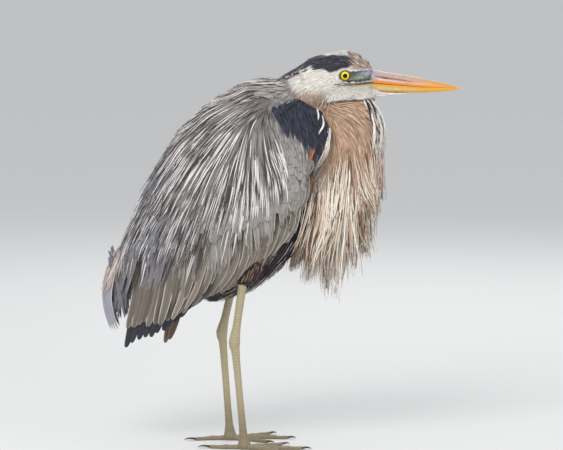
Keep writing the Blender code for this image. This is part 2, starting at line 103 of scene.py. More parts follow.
# The lie of the coat: (X, Z, heading), in millimetres and degrees. The heading turns from ahead (0) over up
# (90) to back (180) and down.
LIE = (
    # head
    (190, 566, 182), (150, 575, 182), (146, 600, 165), (138, 617, 140), (120, 626, 165), (95, 631, 180),
    (60, 626, 195), (30, 611, 212), (5, 597, 210), (120, 600, 172), (120, 575, 183), (90, 575, 186),
    (60, 570, 192), (40, 580, 205), (30, 560, 225), (70, 553, 252), (55, 553, 258),
    # folded neck
    (95, 558, -12), (130, 556, -18), (150, 552, -42), (163, 535, -68), (167, 505, -86), (164, 460, -92),
    (150, 400, -96), (80, 545, -30), (100, 535, -38), (130, 535, -50), (100, 505, -62), (140, 500, -78),
    (90, 470, -84), (130, 460, -90), (80, 430, -108), (60, 400, -122), (110, 400, -95), (50, 350, -125),
    (80, 330, -108), (120, 350, -92),
    # mantle and back
    (30, 585, 235), (0, 596, 195), (-30, 585, 204), (-70, 575, 213), (-110, 550, 224), (-150, 515, 231),
    (-190, 465, 239), (-215, 415, 244), (-240, 360, 248), (-262, 310, 252), (-20, 565, 215), (20, 560, 238),
    (40, 565, 262),
    # scapulars
    (-60, 545, 222), (-100, 520, 228), (-80, 490, 244), (-120, 480, 238), (-150, 450, 240), (-46, 500, 268),
    (-20, 505, 285), (-10, 470, 296), (-60, 440, 262), (-100, 420, 252), (-35, 440, 275), (-180, 390, 240),
    (-150, 380, 248),
    # shoulder
    (0, 540, 288), (30, 545, 284), (50, 540, 292), (65, 525, 298), (76, 505, 275), (74, 480, 252),
    (60, 450, 240), (30, 500, 280), (50, 490, 268),
    # coverts and lower wing
    (10, 470, 280), (30, 450, 268), (36, 410, 256), (0, 420, 270), (-10, 380, 266), (20, 370, 246),
    (-10, 340, 240), (-50, 350, 262), (-50, 300, 246), (-100, 340, 258), (-90, 280, 250), (-150, 320, 254),
    (-150, 250, 256), (-200, 300, 256), (-210, 230, 258),
    # belly and thighs
    (60, 330, 222), (20, 300, 215), (-30, 260, 206), (-80, 240, 196), (-130, 228, 184), (-190, 250, 200),
    (-50, 290, 250),
)
LIE_BLUR = 0.01  # distance over which neighbouring directions blend


def paint(red, green, blue):
    """A linear colour from the 0 to 255 numbers of a colour chart."""
    return tuple((c / 255) ** 2.2 for c in (red, green, blue))


def tone(label, description, red, green, blue):
    return FloatVectorProperty(name=label, description=description, subtype="COLOR", size=3, min=0, max=1,
                               default=paint(red, green, blue))


def metres(label, description, default):
    return FloatProperty(name=label, description=description, subtype="DISTANCE", unit="LENGTH", min=0,
                         default=default, precision=4)


class HeronSizes(bpy.types.PropertyGroup):
    """Sizes of the skin, the eyes and each kind of feather."""

    skin_detail: metres("Skin detail", "Size of the skin's faces", 0.0021)
    leg_detail: metres("Leg detail", "Size of the faces of legs and toes", 0.001)
    iris: metres("Iris", "Radius of the coloured iris", 0.007)
    pupil: metres("Pupil", "Radius of the pupil", 0.0036)
    face_length: metres("Face feather", "Length of the smallest feathers, at the bill", 0.006)
    crown_length: metres("Crown feather", "Length of the feathers of the crown", 0.015)
    neck_length: metres("Neck feather", "Length of the soft feathers of the neck", 0.019)
    mantle_length: metres("Mantle feather", "Length of the feathers of the back", 0.043)
    scapular_length: metres("Scapular plume", "Length of the long plumes over the wing", 0.07)
    covert_length: metres("Wing covert", "Length of the small feathers of the wing", 0.032)
    belly_length: metres("Belly feather", "Length of the feathers of belly and thighs", 0.026)


class HeronColours(bpy.types.PropertyGroup):
    """Colours of the coat and the bare parts."""

    white: tone("White", "Cheeks, throat and the middle of the crown", 236, 231, 222)
    buff: tone("Buff", "Neck and crop", 197, 164, 138)
    black: tone("Black", "Crown stripe", 66, 63, 71)
    mantle: tone("Mantle", "Back", 168, 158, 152)
    plume: tone("Plume", "Pale streak of the scapular plumes", 232, 229, 226)
    # The gap colour also serves as painted shade: under the scapular plumes and as the mantle's dark hairs.
    gap: tone("Gap", "Dark brown between the plumes", 92, 85, 82)
    covert: tone("Covert", "Small feathers of the wing", 150, 145, 141)
    vane: tone("Vane", "Brownish secondaries", 138, 128, 117)
    edge: tone("Pale edge", "Edges of the wing's feathers", 206, 200, 194)
    shoulder: tone("Shoulder", "Blue-black shoulder patch", 50, 54, 66)
    quill: tone("Quill", "Primaries", 56, 56, 64)
    rear: tone("Lavender", "Long hind scapulars", 132, 129, 136)
    belly: tone("Belly", "Belly and flanks", 46, 39, 42)
    rust: tone("Rust", "Thighs and the bend of the wing", 190, 112, 62)
    lore: tone("Lore", "Bare skin before the eye", 84, 95, 97)


# ---- numbers in bulk ----


def unit(vectors):
    return vectors / np.maximum(np.linalg.norm(vectors, axis=-1, keepdims=True), 1e-9)


def dot(a, b):
    return (a * b).sum(axis=-1, keepdims=True)


def level(vectors, normal):
    """The vectors' directions at right angles to the normal."""
    return unit(vectors - dot(vectors, normal) * normal)


def framed(centres, normals):
    """Ring centres of shafts, with their ways along the shafts and their normals."""
    ways = unit(np.gradient(centres, axis=1))
    return centres, ways, level(normals, ways)


def read(items, name, width, kind=np.float32):
    values = np.empty(len(items) * width, kind)
    items.foreach_get(name, values)
    return values.reshape(-1, width)


def write(items, name, values, kind=np.float32):
    items.foreach_set(name, np.asarray(values).astype(kind).ravel())


def ease(low, high, value):
    """0 below low, 1 above high, and smooth between them."""
    share = np.clip((value - low) / (high - low), 0, 1)
    return share * share * (3 - 2 * share)


def bell(value, middle, width):
    """1 at the middle, falling off smoothly within the width."""
    return np.exp(-(((value - middle) / width) ** 2))


def blend(a, b, share):
    """Colours part of the way from a to b, for each point."""
    share = np.asarray(share)[..., None]
    return np.asarray(a) * (1 - share) + np.asarray(b) * share


def layered(colour, *layers):
    """A colour with others laid over it in turn. Each layer is (colour, its share at each point)."""
    for tint, share in layers:
        colour = blend(colour, tint, share)
    return colour


def dim(colour, scale):
    """A colour made darker, or lighter with a scale above 1."""
    return np.array(colour) * scale


def even(colour, points):
    """The same colour for every point."""
    return np.tile(np.array(colour), (len(points), 1))


def plain(colour):
    """A dye of one colour. A dye gives a colour for each point, and takes a random generator."""
    return lambda points, rng: even(colour, points)


def mixed(rng, points, base, low, low_colour, high, high_colour):
    """The base colours, where random picks below low and above high have colours of their own."""
    pick = rng.random((len(points), 1))
    return np.where(pick > high, high_colour, np.where(pick < low, low_colour, base))


def palette():
    return bpy.context.scene.heron_colours


def lie(points):
    """The lie of the coat at each point, blended from the guides. Both sides of the bird are alike."""
    x, z, heading = np.array(LIE).T / np.array([[1000], [1000], [1]])
    angles = np.radians(heading)
    ways = np.stack([np.cos(angles), np.zeros(len(angles)), np.sin(angles)], axis=1)
    far = (points[:, 0:1] - x) ** 2 + (points[:, 2:3] - z) ** 2
    weights = 1 / (far + LIE_BLUR**2) ** 2
    return unit(weights @ ways)


def value_at(value, points):
    """The value at each point. It is a function of the points, or the same number everywhere."""
    return value(points) if callable(value) else value * np.ones(len(points))


PACKING = 0.82  # the least distance between neighbours, as a share of the spacing


class Body:
    """A mesh that feathers lie on: nearest points with smooth normals, and random places on it."""

    def __init__(self, obj):
        mesh = obj.data
        mesh.calc_loop_triangles()
        self.points = read(mesh.vertices, "co", 3).astype(float)
        self.normals = read(mesh.vertices, "normal", 3).astype(float)
        self.faces = read(mesh.loop_triangles, "vertices", 3, np.int32)
        self.tree = BVHTree.FromPolygons(self.points.tolist(), self.faces.tolist())
        self.patch = None
        if "OFBake" in mesh.uv_layers:
            corners = read(mesh.uv_layers["OFBake"].data, "uv", 2)
            self.patch = corners[read(mesh.loop_triangles, "loops", 3, np.int32)].mean(axis=1)

    def nearest(self, points):
        """The nearest places on the mesh, their smooth normals and their faces."""
        found = [self.tree.find_nearest(point) for point in points.tolist()]
        places = np.array([hit[0] for hit in found])
        faces = np.array([hit[2] for hit in found])
        corners = self.points[self.faces[faces]]
        near = 1 / (np.linalg.norm(corners - places[:, None], axis=2, keepdims=True) + 1e-4)
        return places, unit((self.normals[self.faces[faces]] * near).sum(axis=1)), faces

    def scatter(self, keep, spacing, rng, crowd=5):
        """Places spread evenly at a spacing, where keep(points) holds."""
        corners = self.points[self.faces]
        edges = corners[:, 1:] - corners[:, :1]
        area = np.linalg.norm(np.cross(edges[:, 0], edges[:, 1]), axis=1) / 2
        middle = corners.mean(axis=1)
        area = np.where(keep(middle), area, 0)
        wanted = area / value_at(spacing, middle) ** 2
        count = int(wanted.sum() * crowd)
        picks = rng.choice(len(area), count, p=wanted / wanted.sum())
        first, second = rng.random((2, count, 1))
        flip = first + second > 1
        first, second = np.where(flip, 1 - first, first), np.where(flip, 1 - second, second)
        origin, one, two = (corners[picks, i] for i in range(3))
        points = origin + (one - origin) * first + (two - origin) * second
        return points[thinned(points, PACKING * value_at(spacing, points))]


def thinned(points, apart):
    """Indices of the points that stay when none may have an earlier one within its distance."""
    tree = KDTree(len(points))
    for i, point in enumerate(points.tolist()):
        tree.insert(point, i)
    tree.balance()
    state = np.zeros(len(points), dtype=np.int8)
    for i, point in enumerate(points.tolist()):
        if state[i]:
            continue
        for _, j, _ in tree.find_range(point, apart[i]):
            state[j] = 2
        state[i] = 1
    return np.nonzero(state == 1)[0]


# ---- feathers ----


def stations(rings):
    """Places of the rings along a vane, from 0 at the root to 1. They crowd towards the tip, to round it."""
    return 1 - (1 - np.linspace(0, 1, rings)) ** 2.0


GRIP = 0.008  # within this height over the body, a shaft bends down to it


def lay(body, roots, way, length, low, high, rings, stiff, follow):
    """Lays shafts over the body from their roots. Returns their rings' centres, ways and normals.

    low and high are the heights of root and tip above the body, stiff is how little a shaft bends down to
    it, and follow how far it turns with the lie of the coat on its way."""
    place, normal, _ = body.nearest(roots)
    t = stations(rings)
    heading = level(way, normal)
    centres, ways, normals = [place + normal * low[:, None]], [heading], [normal]
    for i in range(1, rings):
        step = length[:, None] * (t[i] - t[i - 1])
        ahead = centres[-1] + heading * step
        place, normal, _ = body.nearest(ahead)
        height = (low + (high - low) * t[i])[:, None]
        lifted = place + normal * height
        gap = dot(ahead - place, normal) - height
        pull = (1 - stiff) * bell(gap, 0, GRIP)
        moved = unit(np.where(gap > 0, ahead + (lifted - ahead) * pull, lifted) - centres[-1])
        centres.append(centres[-1] + moved * step)
        hold = np.where(gap > 0, bell(gap, 0, GRIP), 1)
        smooth = unit(normals[-1] * (1 - 0.7 * hold) + normal * 0.7 * hold)
        ways.append(moved)
        normals.append(level(smooth, moved))
        heading = unit(moved * (1 - follow) + level(lie(centres[-1]), smooth) * follow)
    return np.stack(centres, 1), np.stack(ways, 1), np.stack(normals, 1)


def drape(body, starts, ends, sign, rings, low, high, bow=0.0):
    """Lays shafts over one side of a body along lines in side view.

    starts and ends are (X, Z) for each. bow is how far a shaft's middle swings ahead of the straight line."""
    t = stations(rings)[None, :, None]
    run = ends - starts
    spots = starts[:, None] + run[:, None] * t
    aside = np.stack([-run[:, 1], run[:, 0]], axis=1)
    spots = spots + aside[:, None] * bow * np.sin(math.pi * t)
    count = len(starts)
    places, normals = np.zeros((count, rings, 3)), np.zeros((count, rings, 3))
    for i in range(count):
        last = None
        for j in range(rings):
            x, z = spots[i, j]
            hit = body.tree.ray_cast(Vector((x, sign * 0.5, z)), Vector((0, -sign, 0)))
            if hit[0] is None:
                hit = last or body.tree.find_nearest(Vector((x, sign * 0.07, z)))
            last = hit
            places[i, j] = x, hit[0].y, z
            normals[i, j] = hit[1]
    normals *= np.sign(normals[:, :, 1:2] * sign + 1e-6)
    depth = places[:, :, 1]
    for _ in range(3):
        depth[:, 1:-1] = 0.25 * depth[:, :-2] + 0.5 * depth[:, 1:-1] + 0.25 * depth[:, 2:]
    normals = unit(normals + np.array([0, sign * 0.8, 0]))
    for _ in range(3):
        normals[:, 1:-1] = unit(normals[:, :-2] + 2 * normals[:, 1:-1] + normals[:, 2:])
    low, high = (np.reshape(height * np.ones(count), (count, 1, 1)) for height in (low, high))
    return framed(places + normals * (low + (high - low) * t), normals)


def outline(rings, root, tip):
    """Half widths along a vane, as shares of the widest. A small power is blunt and a large one drawn out."""
    t = np.clip(stations(rings), 0.02, 1)
    width = t**root * (1 - t) ** tip
    return width / width.max()


def vane_colours(base, rings, root=None, tip=None):
    """Colours for left edge, shaft, right edge and underside along each vane, as (feather, ring, 4, 3)."""
    t = stations(rings)[None, :, None]
    colours = np.repeat(np.repeat(base[:, None, None, :], rings, 1), 4, 2)
    if root is not None:
        colours = blend(colours, root, 1 - ease(0.1, 0.6, t))
    if tip is not None:
        colours = blend(colours, tip, ease(0.7, 1, t))
    # The underside is painted darker, as shade.
    colours[:, :, 3] *= 0.6
    return colours


def free_cells(wanted, pitch):
    """A grid cell of its own for each wanted place in the unit square, as near to that place as is free."""
    across = int(1 / pitch)
    taken = {}
    cells = np.clip((wanted * across).astype(int), 0, across - 1)
    for i, (a, b) in enumerate(cells.tolist()):
        reach = 0
        while (a, b) in taken:
            reach += 1
            ring = [(a + x, b + y) for x in range(-reach, reach + 1) for y in (-reach, reach)]
            ring += [(a + x, b + y) for y in range(-reach + 1, reach) for x in (-reach, reach)]
            free = [c for c in ring if c not in taken and 0 <= min(c) and max(c) < across]
            if free:
                a, b = free[i % len(free)]
        taken[a, b] = i
        cells[i] = a, b
    return (cells + 0.5) / across


PATCH = 0.003  # size of each feather's patch on the OFBake map
PATCH_PITCH = 0.0033


def vanes(name, shafts, width, shape, colours, camber, thick):
    """One mesh of closed vanes. shafts comes from lay(), width is each vane's half width, shape its outline.

    Each ring is left edge, shaft, right edge and underside, and the last one is drawn to a point."""
    centres, ways, normals = shafts
    count, rings = centres.shape[:2]
    sides = unit(np.cross(ways, normals))
    half = width[:, None] * shape[None, :]
    half = half[..., None]
    lift = camber * half
    ring = np.stack(
        [
            centres - sides * half - normals * lift,
            centres + normals * (lift * 0.4 + thick),
            centres + sides * half - normals * lift,
            centres - normals * (thick + 0.3 * lift),
        ],
        axis=2,
    )
    tips = centres[:, -1]
    each = 4 * (rings - 1) + 1
    points = np.concatenate([ring[:, :-1].reshape(count, -1, 3), tips[:, None]], axis=1)
    tints = np.concatenate([colours[:, :-1].reshape(count, -1, 3), colours[:, -1, 1:2]], axis=1)

    faces, around = [], []
    wrap = (0, 0.35, 0.7, 0.85, 1.0)
    along = stations(rings)
    for i in range(rings - 2):
        for c in range(4):
            d = (c + 1) % 4
            faces.append((4 * i + c, 4 * i + d, 4 * i + 4 + d, 4 * i + 4 + c))
            around.append([(wrap[c], along[i]), (wrap[c + 1], along[i]), (wrap[c + 1], along[i + 1]),
                           (wrap[c], along[i + 1])])
    last = 4 * (rings - 2)
    for c in range(4):
        faces.append((last + c, last + (c + 1) % 4, each - 1))
        around.append([(wrap[c], along[-2]), (wrap[c + 1], along[-2]), ((wrap[c] + wrap[c + 1]) / 2, 1.0)])
    faces.append((0, 3, 2, 1))
    around.append([(0, 0), (0.85, 0.0), (0.7, 0.02), (0.35, 0.02)])

    starts = np.cumsum([0] + [len(f) for f in faces])[:-1]
    flat = np.concatenate([np.array(f) for f in faces])
    local = np.concatenate([np.array(a) for a in around])
    corners = (flat[None] + each * np.arange(count)[:, None]).ravel()
    begins = (starts[None] + len(flat) * np.arange(count)[:, None]).ravel()

    mesh = bpy.data.meshes.new(name)
    mesh.vertices.add(count * each)
    write(mesh.vertices, "co", points)
    mesh.loops.add(len(corners))
    write(mesh.loops, "vertex_index", corners, np.int32)
    mesh.polygons.add(len(begins))
    write(mesh.polygons, "loop_start", begins, np.int32)
    mesh.update(calc_edges=True)

    # The vane's own map: across it in u, and along it in units of its width in v.
    reach = np.linalg.norm(centres[:, -1] - centres[:, 0], axis=1) / np.maximum(2 * width, 1e-5)
    vane = np.repeat(local[None], count, 0)
    vane[:, :, 0] = np.where(vane[:, :, 0] > 0.7, (1 - vane[:, :, 0]) / 0.3, vane[:, :, 0] / 0.7)
    vane[:, :, 1] *= reach[:, None]
    vane[:, :, 1] += (np.arange(count) % 97)[:, None] * 7.3
    write(mesh.uv_layers.new(name="Vane").data, "uv", vane)
    # The bake map: a small patch for each vane, at its root's place on the skin's unwrapping.
    _, _, hit = bodies().nearest(centres[:, 0])
    wanted = bodies().patch[hit]
    low, high = wanted.min(axis=0), wanted.max(axis=0)
    middle = free_cells((wanted - low) / (high - low), PATCH_PITCH)
    bake = middle[:, None] + (local[None] - 0.5) * PATCH
    write(mesh.uv_layers.new(name="OFBake").data, "uv", bake)
    tinge(mesh, tints.reshape(-1, 3))
    mesh.shade_smooth()
    ends = read(mesh.edges, "vertices", 2, np.int32) % each
    rim = (ends == each - 1) | (ends % 2 == 0)
    write(mesh.attributes.new("sharp_edge", "BOOLEAN", "EDGE").data, "value", rim.all(axis=1), bool)

    obj = bpy.data.objects.new(name, mesh)
    bpy.context.scene.collection.objects.link(obj)
    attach(obj, "root")
    return obj


# ---- the flesh under the coat ----

made = {}  # what the operators share: bodies to lay feathers on, and the tree that tells the solids apart


def lone(obj):
    """Selects this object alone and makes it the active one."""
    bpy.ops.object.select_all(action="DESELECT")
    obj.select_set(True)
    bpy.context.view_layer.objects.active = obj


def modify(obj, kind, **settings):
    """Adds a modifier with these settings and applies it."""
    lone(obj)
    modifier = obj.modifiers.new(kind.lower(), kind)
    for key, value in settings.items():
        setattr(modifier, key, value)
    bpy.ops.object.modifier_apply(modifier=modifier.name)


def joined_copy(name, nodes):
    """One object from copies of solids, each merged so that it is closed."""
    bpy.ops.object.select_all(action="DESELECT")
    for node in nodes:
        copy = bpy.data.objects.new(name, bpy.data.objects[node].data.copy())
        bpy.context.scene.collection.objects.link(copy)
        copy.select_set(True)
        bpy.context.view_layer.objects.active = copy
    if len(nodes) > 1:
        bpy.ops.object.join()
    obj = bpy.context.view_layer.objects.active
    obj.name = obj.data.name = name
    obj.data.materials.clear()
    bpy.ops.object.mode_set(mode="EDIT")
    bpy.ops.mesh.select_all(action="SELECT")
    bpy.ops.mesh.customdata_custom_splitnormals_clear()
    bpy.ops.mesh.remove_doubles(threshold=0.00001)
    bpy.ops.mesh.normals_make_consistent(inside=False)
    bpy.ops.object.mode_set(mode="OBJECT")
    return obj


def keep_widest(obj):
    """Drops sealed pockets and crumbs: only the widest of the loose parts stays."""
    lone(obj)
    bpy.ops.object.mode_set(mode="EDIT")
    bpy.ops.mesh.select_all(action="SELECT")
    bpy.ops.mesh.separate(type="LOOSE")
    bpy.ops.object.mode_set(mode="OBJECT")
    parts = sorted(bpy.context.selected_objects, key=lambda part: part.dimensions.length)
    for part in parts[:-1]:
        bpy.data.objects.remove(part)
    parts[-1].name = parts[-1].data.name
    return parts[-1]


def unwrap(obj):
    """Unwraps the whole surface onto a map named OFBake."""
    lone(obj)
    while obj.data.uv_layers:
        obj.data.uv_layers.remove(obj.data.uv_layers[0])
    obj.data.uv_layers.new(name="OFBake")
    bpy.ops.object.mode_set(mode="EDIT")
    bpy.ops.mesh.select_all(action="SELECT")
    bpy.ops.uv.smart_project(angle_limit=math.radians(66), island_margin=0.0015)
    bpy.ops.object.mode_set(mode="OBJECT")


def tinge(mesh, colours):
    """Writes a colour for each vertex to the attribute that the materials read."""
    rgba = np.ones((len(mesh.vertices), 4))
    rgba[:, :3] = np.clip(colours, 0, 1)
    write(mesh.color_attributes.new("tint", "FLOAT_COLOR", "POINT").data, "color", rgba)


def vertices_of(obj):
    return read(obj.data.vertices, "co", 3).astype(float)


def shift(obj, offsets):
    """Moves each vertex by its own offset."""
    write(obj.data.vertices, "co", vertices_of(obj) + offsets)
    obj.data.update()


def owners(points):
    """The name of the solid that each point is nearest to, among those under the skin."""
    if "owners" not in made:
        spots, faces, owner = [], [], []
        for name in FLESH:
            mesh = bpy.data.objects[name].data
            mesh.calc_loop_triangles()
            corners = read(mesh.loop_triangles, "vertices", 3, np.int32)
            faces.extend((corners + len(spots)).tolist())
            owner.extend([name] * len(corners))
            spots.extend(read(mesh.vertices, "co", 3).tolist())
        made["owners"] = BVHTree.FromPolygons(spots, faces), np.array(owner)
    tree, owner = made["owners"]
    return owner[[tree.find_nearest(point)[2] for point in points.tolist()]]


def below_back(points):
    """How far each point lies inside the line of the back, in side view."""
    table = np.array(BACK)
    places = np.linspace(0, len(table) - 1, 90)
    dense = np.stack([np.interp(places, np.arange(len(table)), table[:, i]) for i in (0, 1)], axis=1)
    return np.sqrt(((points[:, None, ::2] - dense[None]) ** 2).sum(axis=2)).min(axis=1)


# The line of the back, from the nape to the tail, as (X, Z).
BACK = (
    (0.03, 0.59), (-0.0025, 0.598), (-0.0765, 0.579), (-0.1365, 0.533), (-0.1865, 0.471),
    (-0.2185, 0.406), (-0.2435, 0.365), (-0.2615, 0.316), (-0.2805, 0.288),
)
EYE = (0.1024, 0.5955)  # X and Z of both eyes
EYE_CENTRE_Y = 0.0162


def from_eye(points):
    return np.hypot(points[:, 0] - EYE[0], points[:, 2] - EYE[1])


def lore_edges(x):
    """Heights of the top and the bottom of the bare skin between eye and bill."""
    top = np.interp(x, (0.1, 0.1106, 0.1266, 0.15), (0.6035, 0.6018, 0.603, 0.6042))
    low = np.interp(x, (0.1, 0.1063, 0.13, 0.146), (0.585, 0.5846, 0.5858, 0.5885))
    return top + 0.0004 * np.sin(x * 1900), low + 0.0004 * np.sin(x * 1400)


def bare(points):
    """Where the head has no feathers: the lores, the rim of the eye and the root of the bill."""
    x, _, z = points.T
    top, low = lore_edges(x)
    lores = (x > 0.104) & (z < top) & (z > low)
    behind = np.clip((EYE[0] - x) / np.maximum(from_eye(points), 1e-4), 0, 1)
    return lores | (from_eye(points) < 0.0088 + 0.0018 * behind**3) | ((x > 0.148) & (z > 0.5735))


def depth_of_coat(points, owner):
    depth = np.array([COAT[name] for name in owner.tolist()])
    thin = bare(points) | (points[:, 0] > 0.148)
    return np.where((owner == "head") & thin, 0.0009, depth)


def head_look(x, y, z):
    """White, with the black stripe over the eye that runs to the nape and leaves the crown's middle white."""
    c = palette()
    stripe = ease(-0.0012, 0.0012, z - line(STRIPE_LOW, x)) * ease(0.1175, 0.113, x)
    crest = ease(0.0055, 0.0095, y + 0.4 * np.maximum(0.062 - x, 0))
    top = np.maximum(ease(0.0, 0.0022, line(STRIPE_TOP, x) - z), crest)
    fore = ease(0.108, 0.118, x) * ease(0.604, 0.6065, z)
    return layered(
        c.white,
        (c.buff, 0.75 * ease(0.572, 0.558, z) * ease(0.082, 0.06, x)),
        (c.black, stripe * np.where(x > 0.05, top, 1)),
        (paint(178, 150, 136), 0.85 * fore),
    )


def lore_look(x, z):
    """Bare skin: slate round the eye, yellow-green towards the bill under a painted highlight of pale blue,
    with a dark lower edge.
    """
    top, low = lore_edges(x)
    share = (z - low) / (top - low)
    # A painted highlight: pale blue over the upper part of the skin towards the bill.
    pale = bell(x, 0.137, 0.011) * ease(0.42, 0.7, share) * ease(1.0, 0.85, share)
    return layered(
        palette().lore,
        (paint(180, 184, 204), 0.85 * pale),
        (paint(200, 198, 152), 0.8 * bell(x, 0.126, 0.012) * bell(share, 0.42, 0.14)),
        (paint(40, 44, 48), 0.8 * ease(0.16, 0.04, share) + 0.5 * ease(0.9, 1.0, share)),
    )


def markings(points, owner):
    """The colour of the coat at each point."""
    c = palette()
    x, y, z = points[:, 0], np.abs(points[:, 1]), points[:, 2]
    in_back = below_back(points)

    # Back and flanks, dark below the wing and pale under the tail.
    under = ease(0.05, 0.02, z - line(WING_LOW, x))
    trunk = layered(
        c.mantle,
        (c.rear, ease(-0.16, -0.23, x)),
        (c.belly, under * ease(-0.18, -0.14, x)),
        (c.edge, under * ease(-0.155, -0.185, x)),
    )

    # Wing: mantle colour above, darkened under the scapular plumes as painted shade, then grey coverts and
    # the black shoulder.
    # Its bend is rusty where it meets the neck.
    scapulars = ease(0.01, 0.022, in_back) * ease(-0.005, -0.02, x) * ease(0.42, 0.45, z)
    shoulder = ease(-0.003, 0.003, x - line(SHOULDER_HIND, z)) * ease(0.436, 0.442, z)
    front = line(WING_FRONT, z) - x
    bend = ease(0.01, 0.004, front) * ease(0.485, 0.47, z) * ease(0.43, 0.436, z)
    wing = layered(
        c.covert,
        (c.mantle, ease(0.03, 0.018, in_back)),
        # painted shade under the scapular plumes
        (blend(c.gap, c.covert, 0.35), scapulars * ease(0.018, 0.028, in_back)),
        (c.rear, ease(-0.12, -0.15, x) * ease(0.47, 0.43, z)),
        (c.shoulder, shoulder * ease(0.569, 0.56, z)),
        (c.rust, 0.8 * bend),
    )

    # Neck: white behind the cheek, then buff, with a white front and a dark line under the chin, partly the
    # throat's own dark marks and partly painted shade in the crease where the chin meets the folded neck.
    upper = layered(
        c.white,
        (c.buff, ease(0.576, 0.56, z) * 0.8),
        (c.black, ease(-0.002, 0.002, z - line(STRIPE_LOW, x))),
    )
    ahead = ease(0.0, 0.012, x - (0.128 - 1.2 * np.maximum(z - 0.53, 0))) * ease(0.022, 0.012, y)
    below = line(CHIN, x) - z
    lower = layered(
        dim(c.buff, 1.05),
        (dim(c.buff, 0.78), ease(0.07, 0.025, x)),
        (dim(c.white, 0.9), 0.85 * ahead),
        # dark line under the chin: partly its own marks, partly painted shade in the crease
        (dim(c.belly, 1.2), 0.85 * ease(0.0055, 0.0025, below) * ease(0.052, 0.062, x)),
        (c.white, ease(0.002, 0.0, below)),
    )
    plumes = blend(blend(c.plume, c.buff, 0.4), lower, ease(0.4, 0.445, z))

    # Head, with the line of the gape and the yellow corner of the mouth.
    lore_low = lore_edges(x)[1]
    corner = ease(0.1395, 0.144, x) * ease(0.572, 0.574, z) * ease(0.5845, 0.583, z)
    gape = ease(0.0014, 0.0005, np.abs(z - line(GAPE, x)))
    gape = gape * ease(0.081, 0.086, x) * ease(0.148, 0.145, x)
    head = layered(
        head_look(x, y, z),
        (lore_look(x, z), bare(points) & (x < 0.149) & (z > lore_low - 0.0006)),
        (paint(216, 188, 124), 0.8 * corner * (x < 0.152)),
        (paint(98, 72, 50), 0.85 * gape),
        (paint(196, 132, 104), 0.8 * bell(x, 0.0985, 0.003) * bell(z, 0.5845, 0.0016)),
    )

    look = trunk
    thigh = blend(dim(c.rust, 0.7), c.belly, 0.72)
    for name, colours in (("head", head), ("upper_neck", upper), ("lower_neck", lower),
                          ("breast_plumes", plumes), ("wing", wing), ("thigh", thigh)):
        look = np.where(np.char.startswith(owner, name)[:, None], colours, look)
    return look


# ---- materials ----


def add_node(tree, kind, *links, **settings):
    """A new node with these settings. Each link is (input, what feeds it), and None feeds nothing."""
    node = tree.nodes.new(kind)
    node.location = (200 * (len(tree.nodes) % 8) - 1400, -250 * (len(tree.nodes) // 8))
    for key, value in settings.items():
        setattr(node, key, value)
    for key, value in links:
        if isinstance(value, bpy.types.NodeSocket):
            tree.links.new(value, node.inputs[key])
        elif value is not None:
            node.inputs[key].default_value = value
    return node


def sum_of(tree, operation, first, second=None):
    """A Math node. Each operand is a socket or a number."""
    return add_node(tree, "ShaderNodeMath", (0, first), (1, second), operation=operation).outputs[0]


def group_of(name, inputs):
    """A new shader group that turns a colour and numbers into a colour and a height."""
    tree = bpy.data.node_groups.new(name, "ShaderNodeTree")
    tree.interface.new_socket("Colour", in_out="INPUT", socket_type="NodeSocketColor")
    for label, kind, default in inputs:
        socket = tree.interface.new_socket(label, in_out="INPUT", socket_type="NodeSocket" + kind)
        socket.default_value = default
    tree.interface.new_socket("Colour", in_out="OUTPUT", socket_type="NodeSocketColor")
    tree.interface.new_socket("Height", in_out="OUTPUT", socket_type="NodeSocketFloat")
    return tree, add_node(tree, "NodeGroupInput").outputs, add_node(tree, "NodeGroupOutput").inputs


def vector_of(tree, operation, first, key, second):
    """A Vector Math node, whose second operand goes to that input."""
    return add_node(tree, "ShaderNodeVectorMath", (0, first), (key, second), operation=operation).outputs[0]


def mottle(tree, colour, amount, scale):
    """Lightens and darkens a colour by a noise that keeps its place on the piece."""
    place = add_node(tree, "ShaderNodeTexCoord").outputs["Object"]
    noise = add_node(tree, "ShaderNodeTexNoise", ("Vector", place), ("Scale", scale), ("Detail", 3))
    centred = sum_of(tree, "SUBTRACT", noise.outputs["Fac"], 0.5)
    factor = sum_of(tree, "ADD", sum_of(tree, "MULTIPLY", centred, amount), 1.0)
    return vector_of(tree, "SCALE", colour, "Scale", factor)


SHAFT_HALF_WIDTH = 0.035  # of a vane's width
RIM_BLUR = 0.04


